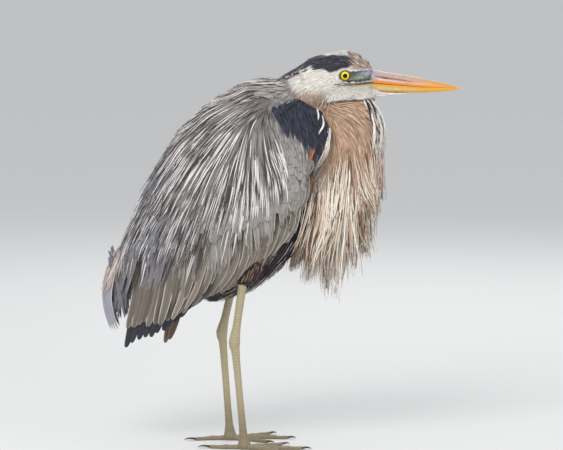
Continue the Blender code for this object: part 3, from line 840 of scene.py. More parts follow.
def barbs_group():
    """Fine barbs that run out and forward from the shaft, with a pale rim, a dark shaft and soft mottling."""
    if "feather barbs" in bpy.data.node_groups:
        return bpy.data.node_groups["feather barbs"]
    tree, ins, outs = group_of("feather barbs", [
        ("Barbs", "Float", 16.0), ("Rake", "Float", 1.1), ("Contrast", "Float", 0.1),
        ("Mottle", "Float", 0.35), ("Mottle Scale", "Float", 70.0), ("Rim", "Color", (1, 1, 1, 1)),
        ("Rim Amount", "Float", 0.0), ("Rim Width", "Float", 0.12), ("Shaft Amount", "Float", 0.0),
    ])

    def math_of(*operands):
        return sum_of(tree, *operands)

    vane = add_node(tree, "ShaderNodeUVMap", uv_map="Vane").outputs["UV"]
    split = add_node(tree, "ShaderNodeSeparateXYZ", (0, vane)).outputs
    off = math_of("ABSOLUTE", math_of("SUBTRACT", split["X"], 0.5))
    along = math_of("SUBTRACT", split["Y"], math_of("MULTIPLY", off, ins["Rake"]))
    turns = math_of("MULTIPLY", along, ins["Barbs"])
    waves = math_of("SINE", math_of("MULTIPLY", turns, 2 * math.pi))
    shade = math_of("ADD", math_of("MULTIPLY", waves, ins["Contrast"]), 1.0)
    colour = mottle(tree, ins["Colour"], ins["Mottle"], ins["Mottle Scale"])
    # A rim along both edges of the vane, and a dark line where its shaft runs.
    past = math_of("DIVIDE", math_of("SUBTRACT", off, math_of("SUBTRACT", 0.5, ins["Rim Width"])), RIM_BLUR)
    past = math_of("MINIMUM", math_of("MAXIMUM", past, 0.0), 1.0)
    past = math_of("MULTIPLY", past, ins["Rim Amount"])
    rimmed = add_node(tree, "ShaderNodeMix", (0, past), (6, colour), (7, ins["Rim"]), data_type="RGBA")
    by_shaft = math_of("MULTIPLY", math_of("LESS_THAN", off, SHAFT_HALF_WIDTH), ins["Shaft Amount"])
    shade = math_of("MULTIPLY", shade, math_of("SUBTRACT", 1.0, by_shaft))
    tree.links.new(vector_of(tree, "SCALE", rimmed.outputs[2], "Scale", shade), outs["Colour"])
    tree.links.new(waves, outs["Height"])
    return tree


def hide_group():
    """Mottled bare skin, down or horn with a fine grain."""
    if "hide" in bpy.data.node_groups:
        return bpy.data.node_groups["hide"]
    tree, ins, outs = group_of("hide", [
        ("Mottle", "Float", 0.3), ("Scale", "Float", 120.0), ("Stretch", "Vector", (1.0, 1.0, 1.0)),
        ("Grain", "Float", 900.0),
    ])
    place = add_node(tree, "ShaderNodeTexCoord").outputs["Object"]
    stretched = vector_of(tree, "MULTIPLY", place, 1, ins["Stretch"])
    grain = add_node(tree, "ShaderNodeTexNoise", ("Vector", stretched), ("Scale", ins["Grain"]),
                     ("Detail", 4))
    tree.links.new(mottle(tree, ins["Colour"], ins["Mottle"], ins["Scale"]), outs["Colour"])
    tree.links.new(grain.outputs["Fac"], outs["Height"])
    return tree


def new_material(name):
    """A new material with its tree and its shader."""
    material = bpy.data.materials.new(name)
    material.use_nodes = True
    return material, material.node_tree, material.node_tree.nodes["Principled BSDF"]


def finish(name, group, values, bump, distance, **surface):
    """A material whose colour is the tint attribute through one of the groups."""
    if name in bpy.data.materials:
        return bpy.data.materials[name]
    material, tree, shader = new_material(name)
    tint = add_node(tree, "ShaderNodeAttribute", attribute_type="GEOMETRY", attribute_name="tint")
    effect = add_node(tree, "ShaderNodeGroup", node_tree=group)
    for key, value in values.items():
        effect.inputs[key].default_value = value
    tree.links.new(tint.outputs["Color"], effect.inputs["Colour"])
    relief = add_node(tree, "ShaderNodeBump", ("Height", effect.outputs["Height"]), ("Strength", bump),
                      ("Distance", distance))
    tree.links.new(effect.outputs["Colour"], shader.inputs["Base Color"])
    tree.links.new(relief.outputs["Normal"], shader.inputs["Normal"])
    for key, value in surface.items():
        shader.inputs[key.replace("_", " ")].default_value = value
    return material


VANE_LOOKS = {
    "feather": {},
    "hair": {"Contrast": 0.04, "Mottle": 0.25},
    "covert": {"Rim": (*paint(222, 217, 210), 1), "Rim Amount": 0.55, "Rim Width": 0.1,
               "Shaft Amount": 0.35},
    "quill": {"Rim": (*paint(216, 208, 198), 1), "Rim Amount": 0.75, "Rim Width": 0.13, "Shaft Amount": 0.4,
              "Barbs": 9.0, "Rake": 2.2},
}


def feather_material(name):
    return finish(name, barbs_group(), VANE_LOOKS[name], 0.35, 0.0003, Roughness=0.62,
                  Specular_IOR_Level=0.32, Sheen_Weight=0.2, Sheen_Roughness=0.45)


def down_material():
    return finish("down", hide_group(), {"Mottle": 0.5, "Scale": 260.0}, 0.6, 0.0008, Roughness=0.9,
                  Specular_IOR_Level=0.15)


def horn_material():
    values = {"Mottle": 0.35, "Scale": 160.0, "Stretch": (0.08, 1.0, 1.0), "Grain": 1400.0}
    return finish("horn", hide_group(), values, 0.25, 0.0002, Roughness=0.36,
                  Specular_IOR_Level=0.5, Coat_Weight=0.15, Coat_Roughness=0.25)


def scale_material():
    return finish("scaled skin", hide_group(), {"Mottle": 0.35, "Scale": 220.0}, 0.35, 0.0003, Roughness=0.55,
                  Specular_IOR_Level=0.4)


# ---- coat ----


def bodies():
    if "skin" not in made:
        raise RuntimeError("make the skin first: the feathers lie on it")
    return made["skin"]


LEAST_SPAN = 0.72  # of a feather's length, or it counts as folded over


def coat(name, slot, where, spacing, length, width, shape, seed, low=-0.001, high=None, body=None, way=None,
         dye=None, stiff=0.1, follow=0.6, ruffle=0.09, shade=0.08, vary=0.12, free=0.014, **looks):
    """Grows one piece of coat. where is a test of points, or the roots themselves.

    spacing, length, width, low and high are functions of points, or numbers. low and high are the heights of
    root and tip, and high is the coat's depth if left out. free is how far a tip may be clear of the body."""
    rng = default_rng(seed)
    body = body or bodies()
    roots = body.scatter(where, spacing, rng) if callable(where) else where
    count = len(roots)
    heading = unit((lie(roots) if way is None else unit(way)) + rng.normal(0, ruffle, (count, 3)))
    if high is None:
        tall = 0.85 * depth_of_coat(roots, owners(roots)) * rng.uniform(0.75, 1.1, count)
    else:
        tall = value_at(high, roots)
    size = np.exp(rng.normal(0, vary, count))
    low = value_at(low, roots)
    shafts = lay(body, roots, heading, value_at(length, roots) * size, low, tall, shape[0], stiff, follow)
    # A feather that folds over or leaves the body at an edge is left out.
    centres = shafts[0]
    run = np.linalg.norm(np.diff(centres, axis=1), axis=2).sum(axis=1)
    span = np.linalg.norm(centres[:, -1] - centres[:, 0], axis=1)
    off = np.linalg.norm(centres[:, -1] - body.nearest(centres[:, -1])[0], axis=1)
    keep = (span > LEAST_SPAN * run) & (off < free)
    shafts = [part[keep] for part in shafts]
    return plumage(name, slot, shafts, (value_at(width, roots) * size)[keep], shape, rng, dye, shade, **looks)


def plumage(name, slot, shafts, width, shape, rng, dye=None, shade=0.08, camber=0.22, thick=0.0003,
            material="hair", **looks):
    """Puts coloured vanes on ready shafts. shape is for outline(), and shade is how much the tones differ."""
    count, rings = shafts[0].shape[:2]
    middle = shafts[0][:, rings // 2]
    base = markings(middle, owners(middle)) if dye is None else dye(middle, rng)
    base = base * np.exp(rng.normal(0, shade, (count, 1)))
    width = width * np.ones(count)
    obj = vanes(name, shafts, width, outline(*shape), vane_colours(base, rings, **looks), camber, thick)
    obj.data.materials.append(feather_material(material))
    return obj


def hold_of(nodes, grain=0.0, rounds=0):
    """A body from copies of solids, to lay feathers over. With a grain, its hollows are filled in rounds."""
    core = joined_copy("hold", nodes)
    if grain:
        modify(core, "REMESH", mode="VOXEL", voxel_size=grain)
        ends = read(core.data.edges, "vertices", 2, np.int32)
        ends = np.concatenate([ends, ends[:, ::-1]])
        count = np.bincount(ends[:, 0])[:, None]
        for _ in range(rounds):
            spots, normals = vertices_of(core), read(core.data.vertices, "normal", 3)
            total = np.stack([np.bincount(ends[:, 0], spots[ends[:, 1], i]) for i in range(3)], axis=1)
            shift(core, normals * np.maximum(dot(total / count - spots, normals), 0))
    body = Body(core)
    bpy.data.objects.remove(core)
    return body


def wing_hold(side):
    """The whole folded wing of one side, smooth over the step between its coverts and its long feathers."""
    key = "wing " + side
    if key not in made:
        made[key] = hold_of(("wing_" + side, "flight_" + side, "trunk"), 0.004, 40)
    return made[key]


class HERON_OT_skin(bpy.types.Operator):
    """Joins head, neck, body, wings and thighs under one skin, a coat's depth inside the solids"""

    bl_idname = "heron.skin"
    bl_label = "Skin"

    def execute(self, context):
        sizes = context.scene.heron_sizes
        obj = joined_copy("skin", FLESH)
        swell = 0.0014
        modify(obj, "DISPLACE", strength=swell, mid_level=0)
        modify(obj, "REMESH", mode="VOXEL", voxel_size=sizes.skin_detail * 1.2)
        obj = keep_widest(obj)
        modify(obj, "SMOOTH", factor=0.5, iterations=10)
        points = vertices_of(obj)
        normals = read(obj.data.vertices, "normal", 3)
        depth = depth_of_coat(points, owners(points)) + swell
        shift(obj, -normals * depth[:, None])
        modify(obj, "SMOOTH", factor=0.5, iterations=5)
        obj.data.shade_smooth()
        unwrap(obj)
        points = vertices_of(obj)
        owner = owners(points)
        locks = np.interp(points[:, 2], (0.29, 0.35), (0.75, 0.35))
        shadow = np.where(owner == "breast_plumes", locks, np.where(owner == "lower_neck", 0.65, 0.8))
        tinge(obj.data, markings(points, owner) * shadow[:, None])
        obj.data.materials.append(down_material())
        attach(obj, "root")
        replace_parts(obj, *FLESH)
        made["skin"] = Body(obj)
        return {"FINISHED"}


EYE_RADIUS = 0.0085
LID_Y = 0.0199  # how far each lid's ring is from the middle of the head


def eye_material():
    """Black pupil, yellow iris and dark rim, by the distance from the eye's own middle."""
    if "iris" in bpy.data.materials:
        return bpy.data.materials["iris"]
    sizes = bpy.context.scene.heron_sizes
    material, tree, shader = new_material("iris")
    place = add_node(tree, "ShaderNodeTexCoord").outputs["Object"]
    centred = add_node(tree, "ShaderNodeMapping", ("Vector", place), ("Location", (-EYE[0], 0, -EYE[1])))
    flat = vector_of(tree, "MULTIPLY", centred.outputs[0], 1, (1, 0, 1))
    reach = add_node(tree, "ShaderNodeVectorMath", (0, flat), operation="LENGTH").outputs["Value"]
    ramp = add_node(tree, "ShaderNodeValToRGB", ("Fac", sum_of(tree, "DIVIDE", reach, 0.01)))
    pupil, iris = sizes.pupil * 100, sizes.iris * 100
    stops = ((0.001, (10, 10, 10)), (pupil - 0.01, (10, 10, 10)), (pupil + 0.02, (226, 190, 20)),
             (0.5, (246, 226, 40)), (iris - 0.07, (236, 206, 34)), (iris, (60, 48, 26)),
             (0.74, (26, 22, 20)))
    for at, colour in stops:
        ramp.color_ramp.elements.new(at).color = (*paint(*colour), 1)
    ramp.color_ramp.elements.remove(ramp.color_ramp.elements[0])
    ramp.color_ramp.elements[-1].color = (*paint(*stops[-1][1]), 1)
    tree.links.new(ramp.outputs["Color"], shader.inputs["Base Color"])
    for key, value in (("Roughness", 0.22), ("Coat Weight", 0.1), ("Specular IOR Level", 0.25),
                       ("Coat Roughness", 0.02)):
        shader.inputs[key].default_value = value
    return material


def settled(name):
    """The new primitive, named, with its place and turn applied to its mesh."""
    obj = bpy.context.object
    bpy.ops.object.transform_apply(location=True, rotation=True, scale=True)
    obj.name = obj.data.name = name
    obj.data.shade_smooth()
    return obj


class HERON_OT_eyes(bpy.types.Operator):
    """Adds the two eyes, with a yellow iris, and the lids that ring them"""

    bl_idname = "heron.eyes"
    bl_label = "Eyes and lids"

    def execute(self, context):
        upright = (math.radians(90), 0, 0)
        for side, sign in SIDES:
            bpy.ops.object.select_all(action="DESELECT")
            bpy.ops.mesh.primitive_uv_sphere_add(
                segments=40, ring_count=24, radius=EYE_RADIUS, location=(EYE[0], sign * EYE_CENTRE_Y, EYE[1]),
                rotation=upright,
            )
            eye = settled("eyeball_" + side)
            eye.data.materials.append(eye_material())
            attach(eye, "root")
            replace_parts(eye, "eye_" + side)

            bpy.ops.object.select_all(action="DESELECT")
            bpy.ops.mesh.primitive_torus_add(
                major_segments=48, minor_segments=14, major_radius=0.008, minor_radius=0.0011,
                location=(EYE[0], sign * LID_Y, EYE[1]), rotation=upright,
            )
            lid = settled("lids_" + side)
            points = vertices_of(lid)
            around = np.arctan2(points[:, 2] - EYE[1], points[:, 0] - EYE[0])
            out = points[:, [0, 2]] - np.array(EYE)
            reach = np.hypot(out[:, 0], out[:, 1])
            # Drawn out a little to both corners, lower at the back, and following the cheek's slope ahead.
            corner = 0.0009 * np.cos(around) ** 6 - 0.0004 * np.sin(around) ** 2
            offsets = np.zeros_like(points)
            offsets[:, 0] = out[:, 0] / reach * corner
            offsets[:, 2] = out[:, 1] / reach * corner
            offsets[:, 1] = -sign * 0.14 * (points[:, 0] - EYE[0])
            shift(lid, offsets)
            tinge(lid.data, blend(paint(40, 36, 34), paint(112, 112, 92), ease(0.0072, 0.0088, reach)))
            lid.data.materials.append(scale_material())
            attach(lid, "root")
        return {"FINISHED"}


# Bill stations: along the bill as a share of its length, top and bottom heights, half width.
BILL_ROOT_X = 0.148
BILL_LENGTH = 0.1414
BILL_HALF_WIDTH = 0.0125
UPPER_BILL = (
    (-0.06, 0.6, 0.5835, 0.92), (0.0, 0.6035, 0.5828, 1.0), (0.14, 0.6, 0.581, 0.88),
    (0.31, 0.5964, 0.579, 0.75), (0.53, 0.5906, 0.5765, 0.57), (0.76, 0.5838, 0.5751, 0.38),
    (0.9, 0.5787, 0.5744, 0.23), (0.97, 0.5757, 0.5739, 0.12), (1.0, 0.5742, 0.5735, 0.04),
)
LOWER_BILL = (
    (-0.06, 0.583, 0.569, 0.8), (0.0, 0.5824, 0.5676, 0.88), (0.14, 0.5806, 0.5674, 0.8),
    (0.31, 0.5786, 0.5672, 0.69), (0.53, 0.5761, 0.567, 0.51), (0.76, 0.5747, 0.569, 0.34),
    (0.9, 0.574, 0.5713, 0.2), (0.975, 0.5734, 0.5728, 0.06),
)
BILL_AROUND = 32


def bill_ring(station, upper):
    """One ring of a mandible: a keeled roof and flat cutting edges above, the reverse below."""
    _, top, bottom, width = station
    half = width * BILL_HALF_WIDTH
    ring = []
    for k in range(BILL_AROUND):
        angle = 2 * math.pi * k / BILL_AROUND
        across, rise = math.cos(angle), math.sin(angle)
        if not upper:
            rise = -rise
        # The outer half bulges to a rounded keel, and the inner half is almost flat.
        if rise > 0:
            reach = rise**1.15
            side = math.copysign(abs(across) ** 0.85, across)
        else:
            reach = -0.1 * abs(rise) ** 0.6
            side = math.copysign(abs(across) ** 0.5, across)
        outer, inner = (top, bottom) if upper else (bottom, top)
        ring.append((half * side, inner + (outer - inner) * max(reach + 0.1, 0) / 1.1))
    return ring


def swept(stations, step):
    """Stations with others between them, eased through each."""
    table = np.array(stations)
    places = np.arange(0, len(table) - 1 + 1e-9, 1 / step)
    rows = []
    for p in places:
        i = min(int(p), len(table) - 2)
        a, b, c, d = (table[min(max(i + k, 0), len(table) - 1)] for k in (-1, 0, 1, 2))
        t = p - i
        rows.append(0.5 * ((2 * b) + (c - a) * t + (2 * a - 5 * b + 4 * c - d) * t**2
                           + (3 * b - a - 3 * c + d) * t**3))
    return rows


def mandible(name, stations, upper):
    """One half of the bill: a ring is extruded from station to station and reshaped at each."""
    bpy.ops.object.select_all(action="DESELECT")
    bpy.ops.mesh.primitive_circle_add(vertices=BILL_AROUND, radius=BILL_HALF_WIDTH, fill_type="NGON")
    obj = bpy.context.object
    obj.name = obj.data.name = name
    rows = swept(stations, 4)
    bpy.ops.object.mode_set(mode="EDIT")
    builder = bmesh.from_edit_mesh(obj.data)
    for number, row in enumerate(rows):
        if number:
            bpy.ops.mesh.extrude_region_move()
            builder = bmesh.from_edit_mesh(obj.data)
        builder.verts.ensure_lookup_table()
        face = next(f for f in builder.faces if f.select and len(f.verts) == BILL_AROUND)
        loop = [corner.vert for corner in face.loops]
        x = BILL_ROOT_X + float(row[0]) * BILL_LENGTH
        for vertex, (y, z) in zip(loop, bill_ring([float(v) for v in row], upper)):
            vertex.co = (x, y, z)
    bpy.ops.mesh.select_all(action="SELECT")
    bpy.ops.mesh.normals_make_consistent(inside=False)
    bpy.ops.object.mode_set(mode="OBJECT")
    return obj


def upper_horn(x, height, cut, slit):
    """Pinkish along the ridge, then a pale band, and orange along the cutting edge, with painted shade where
    the mandibles meet and in the nostril.
    """
    ridge = blend(paint(184, 158, 148), paint(204, 150, 84), ease(0.25, 0.8, x))
    face = blend(paint(140, 130, 96), paint(146, 148, 166), ease(0.35, 0.6, height))
    return layered(
        blend(paint(206, 118, 56), paint(222, 152, 62), ease(0.2, 0.7, x)),
        (ridge, ease(0.5, 0.62, height)),
        (paint(224, 208, 204), 0.95 * bell(height, 0.39, 0.12) * ease(0.8, 0.25, x)),
        (paint(112, 56, 44), 0.85 * cut),
        (paint(224, 140, 50), ease(0.24, 0.1, height) * 0.7),
        # Painted shade: dark brown where the mandibles meet, and near black in the slit of the nostril.
        (paint(96, 48, 30), 0.7 * ease(0.06, 0.0, height)),
        (paint(30, 20, 18), slit),
        # The bare skin of the face runs on into the root of the bill.
        (face, 0.7 * ease(0.08, -0.01, x) * ease(0.15, 0.3, height)),
    )


def lower_horn(x, height):
    """Yellow, with a pale band along its side and a brown upper edge."""
    return layered(
        paint(224, 158, 24),
        (paint(230, 168, 52), ease(0.4, 0.95, x)),
        (paint(208, 198, 166), 0.8 * bell(height, 0.48, 0.2) * ease(0.8, 0.2, x)),
        (paint(150, 84, 34), 0.7 * ease(0.86, 0.98, height)),
    )


class HERON_OT_bill(bpy.types.Operator):
    """Models the upper and lower bill, with the groove of the nostril and coloured horn"""

    bl_idname = "heron.bill"
    bl_label = "Bill"

    def execute(self, context):
        for name, node, stations, upper in (
            ("bill_above", "upper_bill", UPPER_BILL, True),
            ("bill_below", "lower_bill", LOWER_BILL, False),
        ):
            obj = mandible(name, stations, upper)
            modify(obj, "SUBSURF", levels=1, render_levels=1)
            points = vertices_of(obj)
            x = (points[:, 0] - BILL_ROOT_X) / BILL_LENGTH
            y, z = points[:, 1], points[:, 2]
            table = np.array(stations)
            top, bottom = np.interp(x, table[:, 0], table[:, 1]), np.interp(x, table[:, 0], table[:, 2])
            height = (z - bottom) / np.maximum(top - bottom, 0.0006)
            offsets = np.zeros_like(points)
            if upper:
                groove = np.interp(x, (0.0, 0.1, 0.55), (0.56, 0.52, 0.42))
                cut = bell(height, groove, 0.09) * ease(0.6, 0.3, x) * ease(-0.02, 0.05, x)
                slit = bell(height, groove, 0.05) * bell(x, 0.13, 0.035)
                offsets[:, 1] = -np.sign(y) * (0.0011 * cut + 0.001 * slit)
                colour = upper_horn(x, height, cut, slit)
            else:
                # The cutting edges close without a gap.
                offsets[:, 2] = 0.0009 * ease(0.55, 0.95, height)
                colour = lower_horn(x, height)
            shift(obj, offsets)
            obj.data.shade_smooth()
            tinge(obj.data, blend(colour, paint(236, 200, 120), 0.6 * ease(0.9, 1.0, x)))
            obj.data.materials.append(horn_material())
            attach(obj, "root")
            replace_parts(obj, node)
        return {"FINISHED"}


TOES = ("middle", "inner", "outer", "hind")
FEET = {"right": (-0.058, -0.046), "left": (-0.082, 0.046)}  # X and Y of each foot's middle


class HERON_OT_legs(bpy.types.Operator):
    """Makes the scaled legs and feet"""

    bl_idname = "heron.legs"
    bl_label = "Legs and feet"

    def execute(self, context):
        sizes = context.scene.heron_sizes
        for side, _ in SIDES:
            nodes = ["shank_" + side, "tarsus_" + side] + [f"toe_{side}_{toe}" for toe in TOES]
            obj = joined_copy("leg_" + side, nodes)
            modify(obj, "DISPLACE", strength=0.0004, mid_level=0)
            modify(obj, "REMESH", mode="VOXEL", voxel_size=sizes.leg_detail)
            obj = keep_widest(obj)
            modify(obj, "SMOOTH", factor=0.5, iterations=6)
            points = vertices_of(obj)
            normals = read(obj.data.vertices, "normal", 3)
            # Broad scutes down the front of the leg and over each toe, small scales behind.
            on_toe = points[:, 2] < 0.012
            ahead = np.where(on_toe, normals[:, 2], normals[:, 0]) > -0.1
            foot = FEET[side]
            run = np.where(on_toe, np.hypot(points[:, 0] - foot[0], points[:, 1] - foot[1]), points[:, 2])
            groove = bell((run / np.where(on_toe, 0.003, 0.0048)) % 1, 0.5, 0.12)
            cells = np.sin(points[:, 0] * 2400) * np.sin(points[:, 1] * 2400) * np.sin(points[:, 2] * 2000)
            relief = np.where(ahead, -0.00028 * groove, 0.00016 * cells)
            above = points[:, 2] > 0.001
            shift(obj, normals * (relief * above)[:, None])
            lifted = vertices_of(obj)
            lifted[:, 2] = np.maximum(lifted[:, 2], 0.0)
            write(obj.data.vertices, "co", lifted)
            obj.data.shade_smooth()
            unwrap(obj)
            # The scales' colour: darker towards the ground as painted shade, with dark grooves between the
            # scales.
            tinge(obj.data, layered(
                paint(172, 160, 128),
                (paint(104, 92, 76), ease(0.1, 0.02, points[:, 2]) * 0.6),
                (paint(72, 62, 52), np.where(ahead, groove * 0.25, 0.25 * (cells > 0.2))),
            ))
            obj.data.materials.append(scale_material())
            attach(obj, "root")
            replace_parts(obj, *nodes)
        return {"FINISHED"}


class HERON_OT_claws(bpy.types.Operator):
    """Rounds off the eight curved claws"""

    bl_idname = "heron.claws"
    bl_label = "Claws"

    def execute(self, context):
        for side, _ in SIDES:
            nodes = [f"claw_{side}_{toe}" for toe in TOES]
            obj = joined_copy("claws_" + side, nodes)
            modify(obj, "REMESH", mode="VOXEL", voxel_size=0.00045)
            modify(obj, "SMOOTH", factor=0.5, iterations=5)
            obj.data.shade_smooth()
            tinge(obj.data, even(paint(58, 52, 48), obj.data.vertices))
            obj.data.materials.append(horn_material())
            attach(obj, "root")
            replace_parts(obj, *nodes)
        return {"FINISHED"}


def out_from_bill(points):
    """0 at the bill and the eye, 1 on the cheek and nape."""
    return np.minimum(ease(0.15, 0.08, points[:, 0]), ease(0.0085, 0.024, from_eye(points)))


def face(points):
    return (owners(points) == "head") & ~bare(points)


def crown(points):
    rise = points[:, 2] - np.interp(points[:, 0], (0.03, 0.06, 0.1, 0.14), (0.59, 0.604, 0.612, 0.606))
    return face(points) & (rise > 0) & (points[:, 0] < 0.143)


def lores(points):
    top, low = lore_edges(points[:, 0])
    ahead = (points[:, 0] > 0.1105) & (points[:, 0] < 0.149) & (from_eye(points) > 0.0094)
    return ahead & (points[:, 2] < top + 0.0002) & (points[:, 2] > low - 0.0004)


def speckled(points, rng):
    """Tan, grey and white on the forehead, and the markings elsewhere."""
    base = markings(points, owners(points)) * np.where(rng.random(len(points)) < 0.16, 2.6, 1)[:, None]
    base = np.minimum(base, np.array(palette().white))
    fore = (points[:, 0] > 0.107) & (points[:, 2] > 0.604)
    tones = np.array([paint(174, 138, 118), paint(120, 110, 112), paint(228, 222, 216), paint(196, 168, 152)])
    return np.where(fore[:, None], tones[rng.integers(0, 4, len(points))], base)


def scaly(points, rng):
    """The markings, lighter and darker from scale to scale, with some pale blue ones."""
    tones = markings(points, owners(points)) * rng.choice([0.5, 0.9, 1.0, 1.1, 1.5], (len(points), 1))
    return np.where(rng.random((len(points), 1)) < 0.1, np.array(paint(158, 158, 180)), tones)


def gape_lines(rng, count=8):
    """The gape runs back under the eye as a dark line over a golden one."""
    head = hold_of(("head", "upper_neck"))
    golden = np.arange(count) % 2
    tones = blend(paint(92, 64, 42), paint(182, 138, 66), golden)
    for side, sign in SIDES:
        starts = np.array([0.1505, 0.5843]) + rng.normal(0, 0.0003, (count, 2))
        ends = np.array([0.0855, 0.5806]) + rng.normal(0, 0.0003, (count, 2))
        ends = ends + rng.uniform(0, 0.012, (count, 1)) * (1, 0)
        for line_ends in (starts, ends):
            line_ends[:, 1] -= 0.0009 * golden
        shafts = drape(head, starts, ends, sign, 12, -0.0002, 0.0006, 0.02)
        plumage("gape_" + side, WHITE, shafts, 0.00055, (12, 0.3, 0.8), rng, lambda p, r: tones)


def chin_strip(rng, count=120):
    """Short white feathers run forward under the lower bill."""
    root_x = rng.uniform(0.142, 0.182, count)
    tip_x = np.minimum(root_x + rng.uniform(0.012, 0.024, count), 0.204)
    deep, aside = rng.random(count), np.clip(rng.normal(0, 0.004, count), -0.008, 0.008)

    def strip(x, across):
        low = np.interp(x, (0.142, 0.2007), (0.5606, 0.5654))
        return np.stack([x, across, low + deep * 0.9 * (0.5672 - low)], axis=1)

    plumage("chin_strip", WHITE, drape_free(strip(root_x, aside), strip(tip_x, aside * 0.6), 6), 0.0009,
            (6, 0.5, 0.8), rng, plain(palette().white))


def forehead_tufts(count=150):
    """Spiky tufts stand up along the middle of the forehead."""
    rng = default_rng(15)
    clumps = np.array([0.103, 0.1115, 0.119, 0.1265, 0.132, 0.139])
    x = clumps[rng.integers(0, len(clumps), count)] + rng.normal(0, 0.0012, count)
    roots = np.stack([x, rng.normal(0, 0.0045, count), np.full(count, 0.64)], axis=1)
    way = unit(np.array([-0.75, 0.0, 0.62]) + rng.normal(0, 0.1, (count, 3)))
    coat("forehead_tufts", WHITE, bodies().nearest(roots)[0], 0, 0.0115, 0.0008, (6, 0.4, 0.9), 16,
         low=-0.0005, high=0.006, way=way, stiff=0.9, follow=0.1, ruffle=0.05, dye=speckled)


def nape_plumes(count=70):
    """Long black plumes run back from the stripe over the nape."""
    rng = default_rng(13)
    share = rng.random(count)
    roots = np.stack([0.03 + 0.03 * share, rng.normal(0, 0.01, count), 0.606 + 0.013 * share], axis=1)
    roots = bodies().nearest(roots)[0]
    way = unit(np.array([-0.86, 0.0, -0.5]) + roots * np.array([0, -12, 0]))
    coat("nape_plumes", WHITE, roots, 0, lambda p: 0.034 + 0.012 * share, 0.0012, (9, 0.4, 0.8), 14,
         low=0.0015, high=0.003, way=way, stiff=0.3, follow=0.3, ruffle=0.04, dye=plain(palette().black))


class HERON_OT_head_coat(bpy.types.Operator):
    """Covers the head with its smallest feathers, and the crown with tufts"""

    bl_idname = "heron.head_coat"
    bl_label = "Head feathers"

    def execute(self, context):
        sizes = context.scene.heron_sizes
        coat("face_feathers", WHITE, face, lambda p: 0.0016 + 0.0008 * out_from_bill(p),
             lambda p: sizes.face_length * (0.7 + 1.2 * out_from_bill(p)),
             lambda p: 0.00065 + 0.00035 * out_from_bill(p), (4, 0.5, 0.7), 11, low=-0.0008, ruffle=0.11,
             stiff=0.05, shade=0.05)
        coat("crown_tufts", WHITE, crown, 0.0028,
             lambda p: sizes.crown_length * (0.55 + 0.6 * out_from_bill(p)), 0.0009, (6, 0.4, 0.9), 12,
             low=-0.0004, high=0.0034, ruffle=0.14, stiff=0.35, shade=0.16, dye=speckled)
        coat("lore_scales", WHITE, lores, 0.0013, 0.0027, 0.0008, (4, 0.5, 0.6), 17, low=-0.0004, high=0.0005,
             ruffle=0.2, stiff=0.05, shade=0.1, dye=scaly)
        rng = default_rng(18)
        gape_lines(rng)
        chin_strip(rng)
        forehead_tufts()
        nape_plumes()
        return {"FINISHED"}


def neck(points):
    owner = owners(points)
    return (owner == "upper_neck") | (owner == "lower_neck")


def neck_front(points):
    x, y, z = points[:, 0], np.abs(points[:, 1]), points[:, 2]
    return (owners(points) == "lower_neck") & (z < 0.545) & (x > 0.04) & (y < 0.05)


def throat(points):
    x, _, z = points.T
    ahead = x > np.interp(z, (0.4, 0.46, 0.5, 0.535, 0.56), (0.125, 0.138, 0.14, 0.132, 0.112))
    return (owners(points) == "lower_neck") & (z > 0.43) & (z < 0.552) & ahead


def neck_streaks(points, rng):
    """Darker strands all over the neck, and white and nearly black ones ahead."""
    c = palette()
    pick = rng.random((len(points), 1))
    ahead = (ease(0.04, 0.012, np.abs(points[:, 1])) * ease(0.085, 0.125, points[:, 0]))[:, None]
    base = markings(points, owners(points)) * np.where(pick < 0.3, 0.62, 1.18)
    base = np.where(pick < 0.3 * ahead, dim(c.belly, 1.3), base)
    return np.where(pick > 1 - 0.5 * ahead, np.array(c.white), base)


def throat_bands(points, rng):
    """White and nearly black bands that follow the front of the neck down."""
    c = palette()
    x, y, z = points[:, 0], np.abs(points[:, 1]), points[:, 2]
    edge = np.interp(z, (0.4, 0.46, 0.505, 0.535, 0.552, 0.56), (0.155, 0.164, 0.167, 0.163, 0.15, 0.138))
    band = (np.maximum(edge - x, 0) + 0.35 * y) / 0.0068 + rng.normal(0, 0.08, len(points))
    dark = (band % 1 < 0.42) & (rng.random(len(points)) < 0.9)
    base = np.where(dark[:, None], dim(c.belly, 1.1), np.array(c.white))
    strong = rng.random(len(points)) < ease(0.135, 0.15, x) * 0.9
    return blend(markings(points, owners(points)), base, np.where(strong, 0.95, 0.1))


def throat_lines(count=9):
    """White and black lines run down both sides of the throat."""
    c = palette()
    hold = hold_of(("lower_neck", "upper_neck"))
    rng = default_rng(24)
    top = 0.556
    lines = ((c.white, 0.462), (c.belly, 0.515), (c.white, 0.455), (c.belly, 0.52), (c.white, 0.47))
    for side, sign in SIDES:
        for number, (colour, low_end) in enumerate(lines):
            inward = 0.0022 + 0.0042 * number
            share = (top - low_end) / 0.094
            starts = np.array([0.1475 - 0.8 * inward, top]) + rng.normal(0, 0.0006, (count, 2))
            stop = np.array([0.1645 - inward - (1 - share) * 0.01, low_end])
            ends = stop + rng.normal(0, 0.0006, (count, 2)) + rng.uniform(0, 0.03, (count, 1)) * (0, 1)
            high = rng.uniform(0.0012, 0.002, count)
            shafts = drape(hold, starts, ends, sign, 12, high - 0.002, high, 0.14 * share)
            plumage(f"throat_lines_{number}_{side}", WHITE, shafts, 0.0008, (12, 0.6, 0.9), rng,
                    plain(colour))


